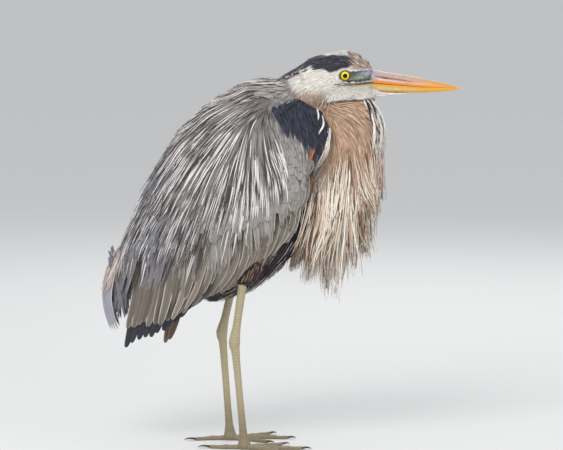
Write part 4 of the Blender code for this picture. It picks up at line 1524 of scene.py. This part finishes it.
class HERON_OT_neck_coat(bpy.types.Operator):
    """Covers the folded neck with soft feathers"""

    bl_idname = "heron.neck_coat"
    bl_label = "Neck feathers"

    def execute(self, context):
        length = context.scene.heron_sizes.neck_length
        coat("neck_feathers", BUFF, neck, 0.0027, lambda p: length * (0.65 + 0.95 * ease(0.56, 0.5, p[:, 2])),
             0.00082, (5, 0.6, 0.9), 21, ruffle=0.06, stiff=0.12, shade=0.1, vary=0.18)
        throat_lines()
        coat("throat_streaks", BUFF, throat, 0.0036, 0.038, 0.0013, (8, 0.7, 0.9), 23, low=-0.001,
             high=0.0052, ruffle=0.03, stiff=0.25, dye=throat_bands, vary=0.15)
        coat("neck_streaks", BUFF, neck_front, 0.006, lambda p: 0.03 + 0.16 * np.maximum(0.52 - p[:, 2], 0),
             0.0008, (8, 0.8, 0.9), 22, low=-0.002, high=0.0056, ruffle=0.05, stiff=0.3, dye=neck_streaks,
             vary=0.2)
        return {"FINISHED"}


# Where the locks of the breast plumes end.
LOCKS = (
    (0.1572, 0.012, 0.398), (0.15, -0.02, 0.372), (0.1365, 0.012, 0.306), (0.1155, -0.015, 0.286),
    (0.097, 0.006, 0.262), (0.088, -0.012, 0.242), (0.0745, 0.02, 0.246), (0.046, -0.02, 0.274),
    (0.024, 0.018, 0.29),
)


def threads(hold, roots, tips, rings, high):
    """Shafts that leave their roots with the lie of the coat and hang to their tips, outside a body."""
    t = stations(rings)[None, :, None]
    length = np.linalg.norm(tips - roots, axis=1)[:, None]
    first = roots + unit(lie(roots)) * length * 0.36
    second = tips + unit(roots - tips) * length * 0.2 + np.array([0, 0, 0.16]) * length
    centres = ((1 - t) ** 3 * roots[:, None] + 3 * (1 - t) ** 2 * t * first[:, None]
               + 3 * (1 - t) * t**2 * second[:, None] + t**3 * tips[:, None])
    for _ in range(3):
        flat = centres.reshape(-1, 3)
        place, normal, _ = hold.nearest(flat)
        rise = np.repeat(high, rings)[:, None]
        inside = dot(flat - place, normal) < rise
        close = np.linalg.norm(flat - place, axis=1)[:, None] < 0.02
        flat = np.where(inside & close, place + normal * rise, flat)
        centres = flat.reshape(centres.shape)
        centres[:, 1:-1] = 0.25 * centres[:, :-2] + 0.5 * centres[:, 1:-1] + 0.25 * centres[:, 2:]
    normals = normal.reshape(centres.shape)
    for _ in range(4):
        normals[:, 1:-1] = unit(normals[:, :-2] + normals[:, 1:-1] + normals[:, 2:])
    return framed(centres, normals)


def drape_free(roots, tips, rings):
    """Straight shafts that hang free from root to tip, facing outwards to either side."""
    t = stations(rings)[None, :, None]
    centres = roots[:, None] * (1 - t) + tips[:, None] * t
    normals = np.zeros_like(centres)
    normals[..., 1] = np.sign(roots[:, 1:2] + 1e-9)
    return framed(centres, normals)


def crop(points):
    """Where the breast plumes grow."""
    x, _, z = points.T
    return (z < 0.476) & (z > 0.352 + 0.25 * np.maximum(x - 0.1, 0)) & (x > line(WING_FRONT, z) - 0.004)


def fanned(hold, rng, spacing, loose, past):
    """Roots and tips of plumes that fan out from high in the neck. Each joins the lock that it points to."""
    roots = hold.scatter(crop, lambda p: spacing * np.interp(p[:, 0], (0.06, 0.09), (0.72, 1.0)), rng)
    turn = np.degrees(np.arctan2(roots[:, 0] - 0.114, 0.509 - roots[:, 2]))
    reach = np.interp(turn, (-34, -24, -17, -8, -4, 0, 6, 14, 21),
                      (0.02, 0.024, 0.044, 0.074, 0.095, 0.115, 0.136, 0.15, 0.157))
    locks = np.array(LOCKS)
    far = np.abs(reach[:, None] + rng.normal(0, 0.008, (len(roots), 1)) - locks[None, :, 0])
    far += 0.25 * np.abs(roots[:, None, 1] - locks[None, :, 1])
    ends = locks[far.argmin(axis=1)]
    back = np.minimum(np.abs(rng.normal(0, loose, len(roots))), 0.8)[:, None] - past
    tips = ends + (roots - ends) * back * np.array([0.9, 0.5, 0.9])
    tips[:, 0] += (reach - ends[:, 0]) * 0.5 * np.clip(back[:, 0] * 3, 0, 1)
    tips += rng.normal(0, 1, tips.shape) * np.array([0.003 + 0.03 * past, 0.0045, 0.002])
    keep = roots[:, 2] - tips[:, 2] > 0.03
    return roots[keep], tips[keep]


def strands(cream, dark):
    """A dye that mixes cream, buff and warm dark strands, with fewer cream ones high on the neck."""
    def dye(points, rng):
        light = cream * (1 - 0.6 * ease(0.36, 0.43, points[:, 2]))[:, None]
        return mixed(rng, points, palette().buff, light, paint(240, 231, 216), 1 - dark, paint(118, 88, 64))
    return dye


def flank_plumes(rng, count=64):
    """Plumes from the root of the neck hang over the flanks."""
    hold = hold_of(("breast_plumes", "lower_neck", "trunk"))
    for side, sign in SIDES:
        share = rng.random(count)
        starts = blend((0.047, 0.405), (0.09, 0.45), share) + rng.normal(0, 0.004, (count, 2))
        ends = blend((0.013, 0.306), (0.078, 0.252), share) + rng.normal(0, 0.005, (count, 2))
        ends += (starts - ends) * rng.uniform(0, 0.35, (count, 1)) ** 2
        high = rng.uniform(0.0055, 0.008, count)
        shafts = drape(hold, starts, ends, sign, 13, 0.001, high, rng.normal(0.02, 0.03, (count, 1, 1)))
        plumage("flank_plumes_" + side, BUFF, shafts, 0.0008 * rng.uniform(0.7, 1.3, count), (13, 0.6, 1.0),
                rng, strands(0.62, 0.16))


class HERON_OT_breast_plumes(bpy.types.Operator):
    """Hangs the long pale plumes from the base of the neck"""

    bl_idname = "heron.breast_plumes"
    bl_label = "Breast plumes"

    def execute(self, context):
        hold = hold_of(("breast_plumes", "lower_neck"))
        rng = default_rng(31)
        for name, spacing, loose, past, width, low, dye in (
            ("plumes", 0.0054, 0.5, 0.0, 0.0011, -0.0008, strands(0.3, 0.26)),
            ("plume_hairs", 0.0062, 0.26, 0.1, 0.0008, 0.0004, strands(0.7, 0.12)),
        ):
            roots, tips = fanned(hold, rng, spacing, loose, past)
            shafts = threads(hold, roots, tips, 13, rng.uniform(low, low + 0.0012, len(roots)))
            shafts[0][:, 0] -= hold.nearest(shafts[0][:, 0])[1] * 0.003
            plumage(name, BUFF, shafts, width * rng.uniform(0.7, 1.3, len(roots)), (13, 0.55, 1.05), rng, dye,
                    shade=0.12)
        flank_plumes(rng)
        return {"FINISHED"}


def wing_side(points, owner=None):
    owner = owners(points) if owner is None else owner
    return np.char.startswith(owner, "wing")


def back(points):
    """The back and the upper edges of the wings."""
    owner = owners(points)
    x, _, z = points.T
    high = z > np.interp(x, (-0.26, -0.2, -0.1, 0.0), (0.27, 0.36, 0.45, 0.5))
    high &= ~((x > -0.018) & (z < 0.556)) & (below_back(points) < np.where(z > 0.5, 0.074, 0.06))
    return ((owner == "trunk") | wing_side(points, owner)) & high


def middle_of_back(points):
    by_shoulder = (points[:, 0] > -0.03) & (points[:, 2] < 0.585)
    return back(points) & (below_back(points) < 0.05) & ~by_shoulder


def mantle_tones(points, rng):
    """The markings, with pale hairs among them and dark hairs that are painted shadows beside the pale ones.
    """
    c, base = palette(), markings(points, owners(points))
    return mixed(rng, points, base, 0.3, dim(c.gap, 0.65), 0.62, blend(base, c.plume, 0.85))


class HERON_OT_mantle(bpy.types.Operator):
    """Covers the back with long loose feathers"""

    bl_idname = "heron.mantle"
    bl_label = "Mantle"

    def execute(self, context):
        length = context.scene.heron_sizes.mantle_length
        coat("mantle_feathers", SLATE, back, 0.0066, lambda p: length * (1 - 0.5 * ease(-0.03, 0.0, p[:, 0])),
             0.003, (7, 0.5, 0.8), 41, high=0.0058, ruffle=0.09, stiff=0.2, shade=0.08, material="feather")
        coat("mantle_hairs", SLATE, middle_of_back, 0.0052, length * 0.85, 0.00076, (8, 0.5, 0.9), 42,
             low=0.001, high=0.0082, ruffle=0.12, stiff=0.4, shade=0.1, vary=0.25, dye=mantle_tones)
        return {"FINISHED"}


def beside(sign, clear, *parts):
    """A test for points within all the parts, on one side and that far from the middle."""
    return lambda points: np.all([points[:, 1] * sign > clear, *(part(points) for part in parts)], axis=0)


def shoulder(points):
    x, _, z = points.T
    return (z > 0.43) & (z < 0.572) & (x > line(SHOULDER_HIND, z) - 0.012)


def shoulder_rim(points):
    return shoulder(points) & ((points[:, 2] > 0.52) | (points[:, 0] > 0.06))


def low_down(points):
    """1 at the lower coverts and 0 at the upper ones."""
    return 1 - ease(0.36, 0.46, points[:, 2])


def covered(points):
    """Where the coverts grow: behind the shoulder, between the back and the long feathers."""
    over = points[:, 2] > np.interp(points[:, 0], (-0.2, -0.11, -0.04, 0.045), (0.35, 0.375, 0.395, 0.43))
    return ~shoulder(points) & over & (points[:, 2] < 0.512) & (below_back(points) > 0.026)


def bend_strands(hold, side, sign):
    """White and rusty strands curve down the bend of the wing."""
    rng = default_rng(55)
    white = palette().white
    # how many, colour, start, end, how far apart, bow and half width
    bends = (
        (5, white, (0.0572, 0.545), (0.058, 0.527), 0.0006, 0.06, 0.0006),
        (7, white, (0.0645, 0.535), (0.0585, 0.505), 0.0005, 0.17, 0.0007),
        (20, white, (0.0762, 0.515), (0.05, 0.448), 0.001, 0.11, 0.0009),
        (7, paint(176, 110, 70), (0.05, 0.485), (0.0445, 0.462), 0.0024, 0.06, 0.0007),
        (9, paint(150, 98, 68), (0.049, 0.442), (0.044, 0.41), 0.0026, 0.04, 0.0008),
    )
    for number, (count, colour, start, end, apart, bow, half) in enumerate(bends):
        starts, ends = (np.array(spot) + rng.normal(0, apart, (count, 2)) for spot in (start, end))
        ends += (starts - ends) * rng.uniform(0, 0.2, (count, 1))
        lift = rng.uniform(0.0052, 0.0066, count)
        bows = bow + rng.normal(0, 0.014, (count, 1, 1))
        plumage(f"bend_strands_{number}_{side}", SLATE,
                drape(hold, starts, ends, sign, 10, lift - 0.004, lift, bows), half, (10, 0.7, 0.8), rng,
                plain(colour), shade=0.1)


class HERON_OT_wing_coverts(bpy.types.Operator):
    """Covers each wing with overlapping coverts and its black shoulder"""

    bl_idname = "heron.wing_coverts"
    bl_label = "Wing coverts"

    def execute(self, context):
        length = context.scene.heron_sizes.covert_length
        for side, sign in SIDES:
            hold = wing_hold(side)
            coat("coverts_" + side, SLATE, beside(sign, 0.012, wing_side, covered),
                 lambda p: 0.008 + 0.0022 * low_down(p), lambda p: length * (0.9 + 0.35 * low_down(p)),
                 lambda p: 0.0054 + 0.0018 * low_down(p), (8, 0.45, 0.42), 51,
                 low=lambda p: -0.0015 + 0.0034 * low_down(p), high=lambda p: 0.0034 + 0.0036 * low_down(p),
                 body=hold, ruffle=0.07, stiff=0.3, shade=0.1, material="covert", camber=0.3)
            coat("shoulder_feathers_" + side, SLATE, beside(sign, 0.012, wing_side, shoulder), 0.0037,
                 lambda p: 0.029 - 0.015 * ease(0.535, 0.558, p[:, 2]), 0.0014, (7, 0.5, 0.9), 53,
                 low=-0.0015, high=0.0036, body=hold, ruffle=0.07, stiff=0.2, shade=0.2, vary=0.2)
            coat("shoulder_down_" + side, SLATE, beside(sign, 0.012, wing_side, shoulder_rim), 0.0027, 0.0125,
                 0.0012, (6, 0.5, 0.9), 54, low=-0.0008, high=0.0018, ruffle=0.08, stiff=0.05, shade=0.16,
                 vary=0.2)
            bend_strands(hold, side, sign)
        return {"FINISHED"}


def shawl(points):
    """The upper sides of the back, over which the scapular plumes drape."""
    x, _, z = points.T
    low = np.interp(x, (-0.17, -0.12, -0.055, -0.03), (0.44, 0.422, 0.422, 0.445))
    clear = x < line(SHOULDER_HIND, z) - 0.015 - 0.4 * np.maximum(z - 0.495, 0)
    return (x > -0.17) & (x < -0.004) & (z > low) & (z < 0.556) & clear & (below_back(points) > 0.018)


def hind_shawl(points):
    x, _, z = points.T
    low = np.interp(x, (-0.232, -0.19, -0.105), (0.32, 0.335, 0.35))
    return (x < -0.105) & (x > -0.232) & (z > low) & (z < 0.478) & (below_back(points) > 0.006)


def streaked(points, rng):
    """White, grey and dark plumes, with more white ones low down."""
    c = palette()
    white = np.interp(points[:, 2], (0.445, 0.495), (0.5, 0.3))[:, None]
    return mixed(rng, points, dim(c.covert, 0.95), white, c.plume, 0.74, dim(c.gap, 0.7))


def lavender(points, rng):
    """Lavender grey at the back, browner ahead, with some feathers in shadow."""
    c = palette()
    look = blend(dim(c.rear, 0.86), dim(c.vane, 0.72), ease(-0.2, -0.15, points[:, 0]))
    return np.where(rng.random((len(points), 1)) < 0.22, dim(c.gap, 0.7), look)


def lined(points, rng):
    """Dark, lavender and pale hairs."""
    c = palette()
    return mixed(rng, points, c.rear, 0.42, dim(c.gap, 0.5), 0.62, dim(c.plume, 0.92))


def scapular_fans(hold, side, sign, members=10):
    """Each fan has its plumes' roots together and its tips spread."""
    rng = default_rng(61)
    middles = hold.scatter(beside(sign, 0.02, shawl), 0.0165, rng)
    spread = np.tile(np.linspace(-1, 1, members), len(middles)) + rng.normal(0, 0.06, members * len(middles))
    roots = np.repeat(middles, members, axis=0)
    _, normal, _ = hold.nearest(roots)
    way = level(lie(roots), normal)
    aside = unit(np.cross(way, normal))
    roots = roots + aside * spread[:, None] * 0.0065 - way * (0.006 * spread**2)[:, None]
    way = unit(way + aside * spread[:, None] * 0.2)
    reach = bpy.context.scene.heron_sizes.scapular_length * (1.15 - 0.25 * spread**2) * np.interp(
        roots[:, 0], (-0.16, -0.11, -0.06, -0.03, 0.0), (1.15, 1.22, 1.1, 0.88, 0.62))
    coat("scapular_plumes_" + side, SLATE, roots, 0, lambda p: reach, 0.00092, (11, 0.9, 0.8), 62,
         low=-0.0005, high=0.0062, body=hold, way=way, ruffle=0.02, stiff=0.45, follow=0.3, dye=streaked,
         shade=0.1, vary=0.16, root=palette().covert)


class HERON_OT_scapulars(bpy.types.Operator):
    """Drapes the long pale scapular plumes over each wing"""

    bl_idname = "heron.scapulars"
    bl_label = "Scapular plumes"

    def execute(self, context):
        for side, sign in SIDES:
            hold = wing_hold(side)
            scapular_fans(hold, side, sign)
            rear = beside(sign, 0.014, hind_shawl)
            coat("long_scapulars_" + side, SLATE, rear, 0.0082, 0.066, 0.0032, (9, 0.6, 0.6), 63, low=0.0,
                 high=0.0066, body=hold, ruffle=0.05, stiff=0.5, follow=0.3, free=0.011, shade=0.12,
                 dye=lavender, material="covert", vary=0.2)
            coat("scapular_hairs_" + side, SLATE, rear, 0.0078, 0.058, 0.00075, (9, 0.7, 0.8), 64, low=0.0015,
                 high=0.0088, body=hold, ruffle=0.07, stiff=0.5, follow=0.3, free=0.012, shade=0.1, dye=lined,
                 vary=0.25)
        return {"FINISHED"}


# Rows of long wing feathers in side view: roots and tips as (X, Z), how many, half width, height and bow.
WING_ROWS = (
    # black primaries below the wing's end
    ("primaries", ((-0.105, 0.29), (-0.185, 0.27), (-0.235, 0.27)),
     ((-0.14, 0.226), (-0.168, 0.206), (-0.1925, 0.186), (-0.22, 0.178), (-0.2455, 0.16)),
     12, 0.0066, -0.0012, 0.06),
    # secondaries, whose tips make the lower edge
    ("secondaries", ((0.026, 0.415), (-0.01, 0.392), (-0.08, 0.366), (-0.16, 0.34)),
     ((0.012, 0.341), (-0.0165, 0.311), (-0.0465, 0.282), (-0.0735, 0.262), (-0.1175, 0.241),
      (-0.1445, 0.226), (-0.1735, 0.213)), 32, 0.0053, 0.0, 0.12),
    # greater coverts over their roots
    ("greater_coverts", ((0.04, 0.45), (-0.03, 0.425), (-0.09, 0.405), (-0.15, 0.385), (-0.185, 0.365)),
     ((0.034, 0.388), (0.005, 0.352), (-0.036, 0.322), (-0.085, 0.298), (-0.14, 0.272), (-0.178, 0.258)),
     38, 0.0046, 0.0016, 0.1),
    # tertials over them at the back
    ("tertials", ((-0.115, 0.385), (-0.175, 0.375), (-0.226, 0.345)),
     ((-0.148, 0.232), (-0.168, 0.213), (-0.192, 0.198), (-0.22, 0.2), (-0.243, 0.19)),
     13, 0.0076, 0.0026, 0.06),
)


def wing_row(hold, side, sign, number):
    """One row of a wing's long feathers."""
    row, roots, tips, count, half, rise, bow = WING_ROWS[number]
    c = palette()
    tones = {"primaries": c.quill, "secondaries": c.vane, "greater_coverts": c.covert,
             "tertials": dim(c.vane, 0.74)}
    rng = default_rng(71 + number)
    share = np.linspace(0, 1, count)

    def along(table):
        places = np.linspace(0, 1, len(table))
        return np.stack([np.interp(share, places, [entry[i] for entry in table]) for i in (0, 1)], axis=1)

    starts = along(roots)
    ends = along(tips) + rng.normal(0, 1, (count, 2)) * np.array([0.0016, 0.0022])
    colours = even(tones[row], share)
    if row == "greater_coverts":
        ends += (starts - ends) * rng.uniform(-0.12, 0.3, (count, 1))
    if side == "left" and row == "primaries":
        # Two of the left primaries hang lower, and browner.
        ends[4:6, 1] -= 0.03
        colours[4:6] = paint(156, 132, 122)
    low = rise + 0.0016 * share
    shafts = drape(hold, starts, ends, sign, 11, low - 0.0012, low + 0.001, bow)
    return plumage(f"{row}_{side}", "quill_feather", shafts, half * rng.uniform(0.88, 1.12, count),
                   (11, 0.34, 0.33), rng, lambda p, r: colours, 0.13, camber=0.34, thick=0.0005,
                   material="feather" if row == "primaries" else "quill", root=dim(c.gap, 0.9),
                   tip=c.vane if row == "greater_coverts" else None)


class HERON_OT_quills(bpy.types.Operator):
    """Lays the long flight feathers of each folded wing, ending in the black primaries"""

    bl_idname = "heron.quills"
    bl_label = "Flight feathers"

    def execute(self, context):
        for side, sign in SIDES:
            rows = [wing_row(wing_hold(side), side, sign, number) for number in range(len(WING_ROWS))]
            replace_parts(rows[0], "flight_" + side)
        return {"FINISHED"}


# The tail's ridge from root to end, as (X, Z, half width), and how its outer feathers droop.
TAIL_RIDGE = (
    (-0.247, 0.333, 0.016), (-0.264, 0.313, 0.0224), (-0.279, 0.28, 0.0272),
    (-0.286, 0.244, 0.0304), (-0.283, 0.215, 0.032), (-0.274, 0.187, 0.0301),
)
TAIL_ARCH = 0.021


def rump(points):
    x, _, z = points.T
    return (x < -0.215) & (z < 0.35) & (z > 0.284) & (np.abs(points[:, 1]) < 0.05)


def tail_feathers(rng, count=12, rings=12):
    """Feathers side by side over the tail's ridge, arched across it."""
    across = np.linspace(-1, 1, count + 1)[:-1] + 1 / count
    rows = np.array(swept(TAIL_RIDGE, 6))
    u = np.linspace(0, 1, rings)
    x, z, half = (np.interp(u, np.linspace(0, 1, len(rows)), rows[:, i]) for i in range(3))
    v = across[:, None] * 0.86
    flat = np.zeros((count, rings))
    droop = TAIL_ARCH * (0.35 + 0.65 * u) * v * v
    centres = np.stack([x + droop + 0.0012 + 0.0011 * np.abs(v), half * v,
                        z + 0.01 * u * v**4 - 0.2 * droop], axis=2)
    shafts = framed(centres, np.stack([flat - 1, flat + 0.9 * v, flat + 0.25], axis=2))
    return plumage("tail_feathers", SLATE, shafts, 0.0086, (rings, 0.22, 0.28), rng,
                   plain(paint(158, 156, 168)), 0.05, camber=0.12, thick=0.0006, material="quill")


def tail_coverts(rng):
    """Short fluffy feathers fall over the root of the tail."""
    hold = hold_of(("tail", "trunk"))
    roots = hold.scatter(rump, 0.005, rng)
    count = len(roots)
    fall = np.array([-0.012, 0.0, -0.034]) * rng.uniform(0.75, 1.25, (count, 1))
    tips = roots + fall + rng.normal(0, 1, (count, 3)) * np.array([0.002, 0.0035, 0.002])
    tips[:, 0] = np.maximum(tips[:, 0], -0.2855)
    plumage("tail_coverts", SLATE, threads(hold, roots, tips, 8, rng.uniform(0.0, 0.003, count)), 0.0021,
            (8, 0.5, 0.7), rng,
            lambda p, r: blend(paint(216, 200, 190), palette().gap, 0.4 * r.random(len(p))))


def undertail_coverts(rng, count=110):
    """Long soft feathers hang between the tail and the ends of the wings."""
    roots = rng.uniform([[-0.275], [-0.024], [0.285]], [[-0.232], [0.024], [0.32]], (3, count)).T
    tips = rng.uniform([[-0.2715], [0.204]], [[-0.24], [0.24]], (2, count))
    tips = np.stack([tips[0], roots[:, 1], tips[1]], axis=1)
    plumage("undertail_coverts", SLATE, drape_free(roots, tips, 8), 0.003, (8, 0.5, 0.6), rng,
            plain(dim(palette().rear, 0.85)), 0.12)


class HERON_OT_tail(bpy.types.Operator):
    """Lays the twelve feathers of the tail and the fluffy coverts over its root"""

    bl_idname = "heron.tail"
    bl_label = "Tail"

    def execute(self, context):
        rng = default_rng(81)
        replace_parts(tail_feathers(rng), "tail")
        tail_coverts(rng)
        undertail_coverts(rng)
        return {"FINISHED"}


def belly(points):
    """The part of the trunk that shows below the wings."""
    x, _, z = points.T
    low = z < line(WING_LOW, x) + 0.055
    hidden = (x > 0.012) & (z < 0.318)
    hidden |= (x < line(WING_FRONT, z) - 0.018) & (z > line(WING_LOW, x) + 0.016)
    return (owners(points) == "trunk") & low & ~hidden


def belly_tones(points, rng):
    """The markings, with a few pale feathers."""
    base = markings(points, owners(points))
    return np.where(rng.random((len(points), 1)) < 0.015, np.array(palette().edge), base)


def one_of(*tones):
    """A dye that gives each feather one of these colours."""
    return lambda points, rng: np.array(tones)[rng.integers(0, len(tones), len(points))]


class HERON_OT_belly(bpy.types.Operator):
    """Covers the belly, the flanks and the thighs"""

    bl_idname = "heron.belly"
    bl_label = "Belly and thighs"

    def execute(self, context):
        c = context.scene.heron_colours
        length = context.scene.heron_sizes.belly_length
        coat("belly_feathers", SLATE, belly, 0.0048,
             lambda p: length * np.interp(p[:, 0], (-0.02, 0.04), (1.0, 0.45)), 0.0019, (7, 0.6, 0.85), 91,
             high=0.0062, ruffle=0.09, stiff=0.08, shade=0.25, dye=belly_tones)
        coat("belly_streaks", SLATE, belly, 0.0082,
             lambda p: 1.5 * length * np.interp(p[:, 0], (-0.02, 0.04), (1.0, 0.5)), 0.0007, (8, 0.6, 0.9),
             93, low=0.001, high=0.008, ruffle=0.07, stiff=0.2,
             dye=one_of(c.edge, paint(104, 82, 68), paint(62, 52, 52)))
        brown = dim(c.belly, 1.3)
        coat("thigh_feathers", BUFF, lambda p: np.char.startswith(owners(p), "thigh"), 0.0034, 0.017, 0.0013,
             (6, 0.6, 0.8), 92, ruffle=0.1, stiff=0.15,
             dye=one_of(brown, brown, paint(142, 122, 98), paint(116, 84, 62)))
        return {"FINISHED"}


class HERON_OT_stage(bpy.types.Operator):
    """Lays the pale floor and sets up the soft light and the camera"""

    bl_idname = "heron.stage"
    bl_label = "Stage"

    def execute(self, context):
        scene = context.scene
        bpy.ops.object.select_all(action="DESELECT")
        bpy.ops.mesh.primitive_plane_add(size=40, location=(0, 0, 0))
        floor = context.object
        floor.name = "floor"
        ground, _, shader = new_material("floor")
        shader.inputs["Base Color"].default_value = (0.72, 0.72, 0.7, 1)
        shader.inputs["Roughness"].default_value = 0.9
        floor.data.materials.append(ground)

        world = scene.world or bpy.data.worlds.new("World")
        scene.world = world
        world.use_nodes = True
        sky = world.node_tree.nodes["Background"]
        sky.inputs["Color"].default_value = (0.93, 0.95, 1.0, 1)
        sky.inputs["Strength"].default_value = 0.75

        aim = Vector((0.0, 0.0, 0.38))
        for name, place, size, power in (
            ("key", (-0.9, -2.0, 2.2), 1.4, 42.0),
            ("fill", (2.4, -1.6, 1.2), 2.0, 14.0),
            ("back", (0.4, 2.2, 2.0), 1.6, 20.0),
        ):
            lamp = bpy.data.lights.new(name, "AREA")
            lamp.size, lamp.energy = size, power
            light = bpy.data.objects.new(name, lamp)
            light.location = place
            light.rotation_euler = (aim - Vector(place)).to_track_quat("-Z", "Y").to_euler()
            scene.collection.objects.link(light)

        lens = bpy.data.cameras.new("camera")
        lens.lens, lens.sensor_width = 239.8, 36.0
        lens.clip_end = 100
        camera = bpy.data.objects.new("camera", lens)
        target = Vector((0.0015, 0, 0.355))
        rise = math.radians(6)
        away = 6.0
        camera.location = target + away * Vector((0, -math.cos(rise), math.sin(rise)))
        camera.rotation_euler = (target - camera.location).to_track_quat("-Z", "Y").to_euler()
        scene.collection.objects.link(camera)
        scene.camera = camera
        scene.view_settings.view_transform = "Standard"
        return {"FINISHED"}


ORDER = (
    HERON_OT_skin, HERON_OT_eyes, HERON_OT_bill, HERON_OT_legs, HERON_OT_claws, HERON_OT_head_coat,
    HERON_OT_neck_coat, HERON_OT_breast_plumes, HERON_OT_mantle, HERON_OT_wing_coverts, HERON_OT_scapulars,
    HERON_OT_quills, HERON_OT_tail, HERON_OT_belly, HERON_OT_stage,
)


class HERON_PT_panel(bpy.types.Panel):
    """Sizes, colours and the steps that dress the bird"""

    bl_idname = "HERON_PT_panel"
    bl_label = "Great blue heron"
    bl_space_type = "VIEW_3D"
    bl_region_type = "UI"
    bl_category = "Heron"

    def draw(self, context):
        for group in (context.scene.heron_sizes, context.scene.heron_colours):
            column = self.layout.column(align=True)
            for name in group.bl_rna.properties.keys():
                if name not in ("rna_type", "name"):
                    column.prop(group, name)
        for step in ORDER:
            self.layout.operator(step.bl_idname)


CLASSES = (HeronSizes, HeronColours, *ORDER, HERON_PT_panel)


def register():
    for entry in CLASSES:
        bpy.utils.register_class(entry)
    bpy.types.Scene.heron_sizes = PointerProperty(type=HeronSizes)
    bpy.types.Scene.heron_colours = PointerProperty(type=HeronColours)


def unregister():
    del bpy.types.Scene.heron_sizes
    del bpy.types.Scene.heron_colours
    for entry in reversed(CLASSES):
        bpy.utils.unregister_class(entry)


def main():
    register()
    for step in ORDER:
        area, verb = step.bl_idname.split(".")
        getattr(getattr(bpy.ops, area), verb)()


if __name__ == "__main__":
    main()
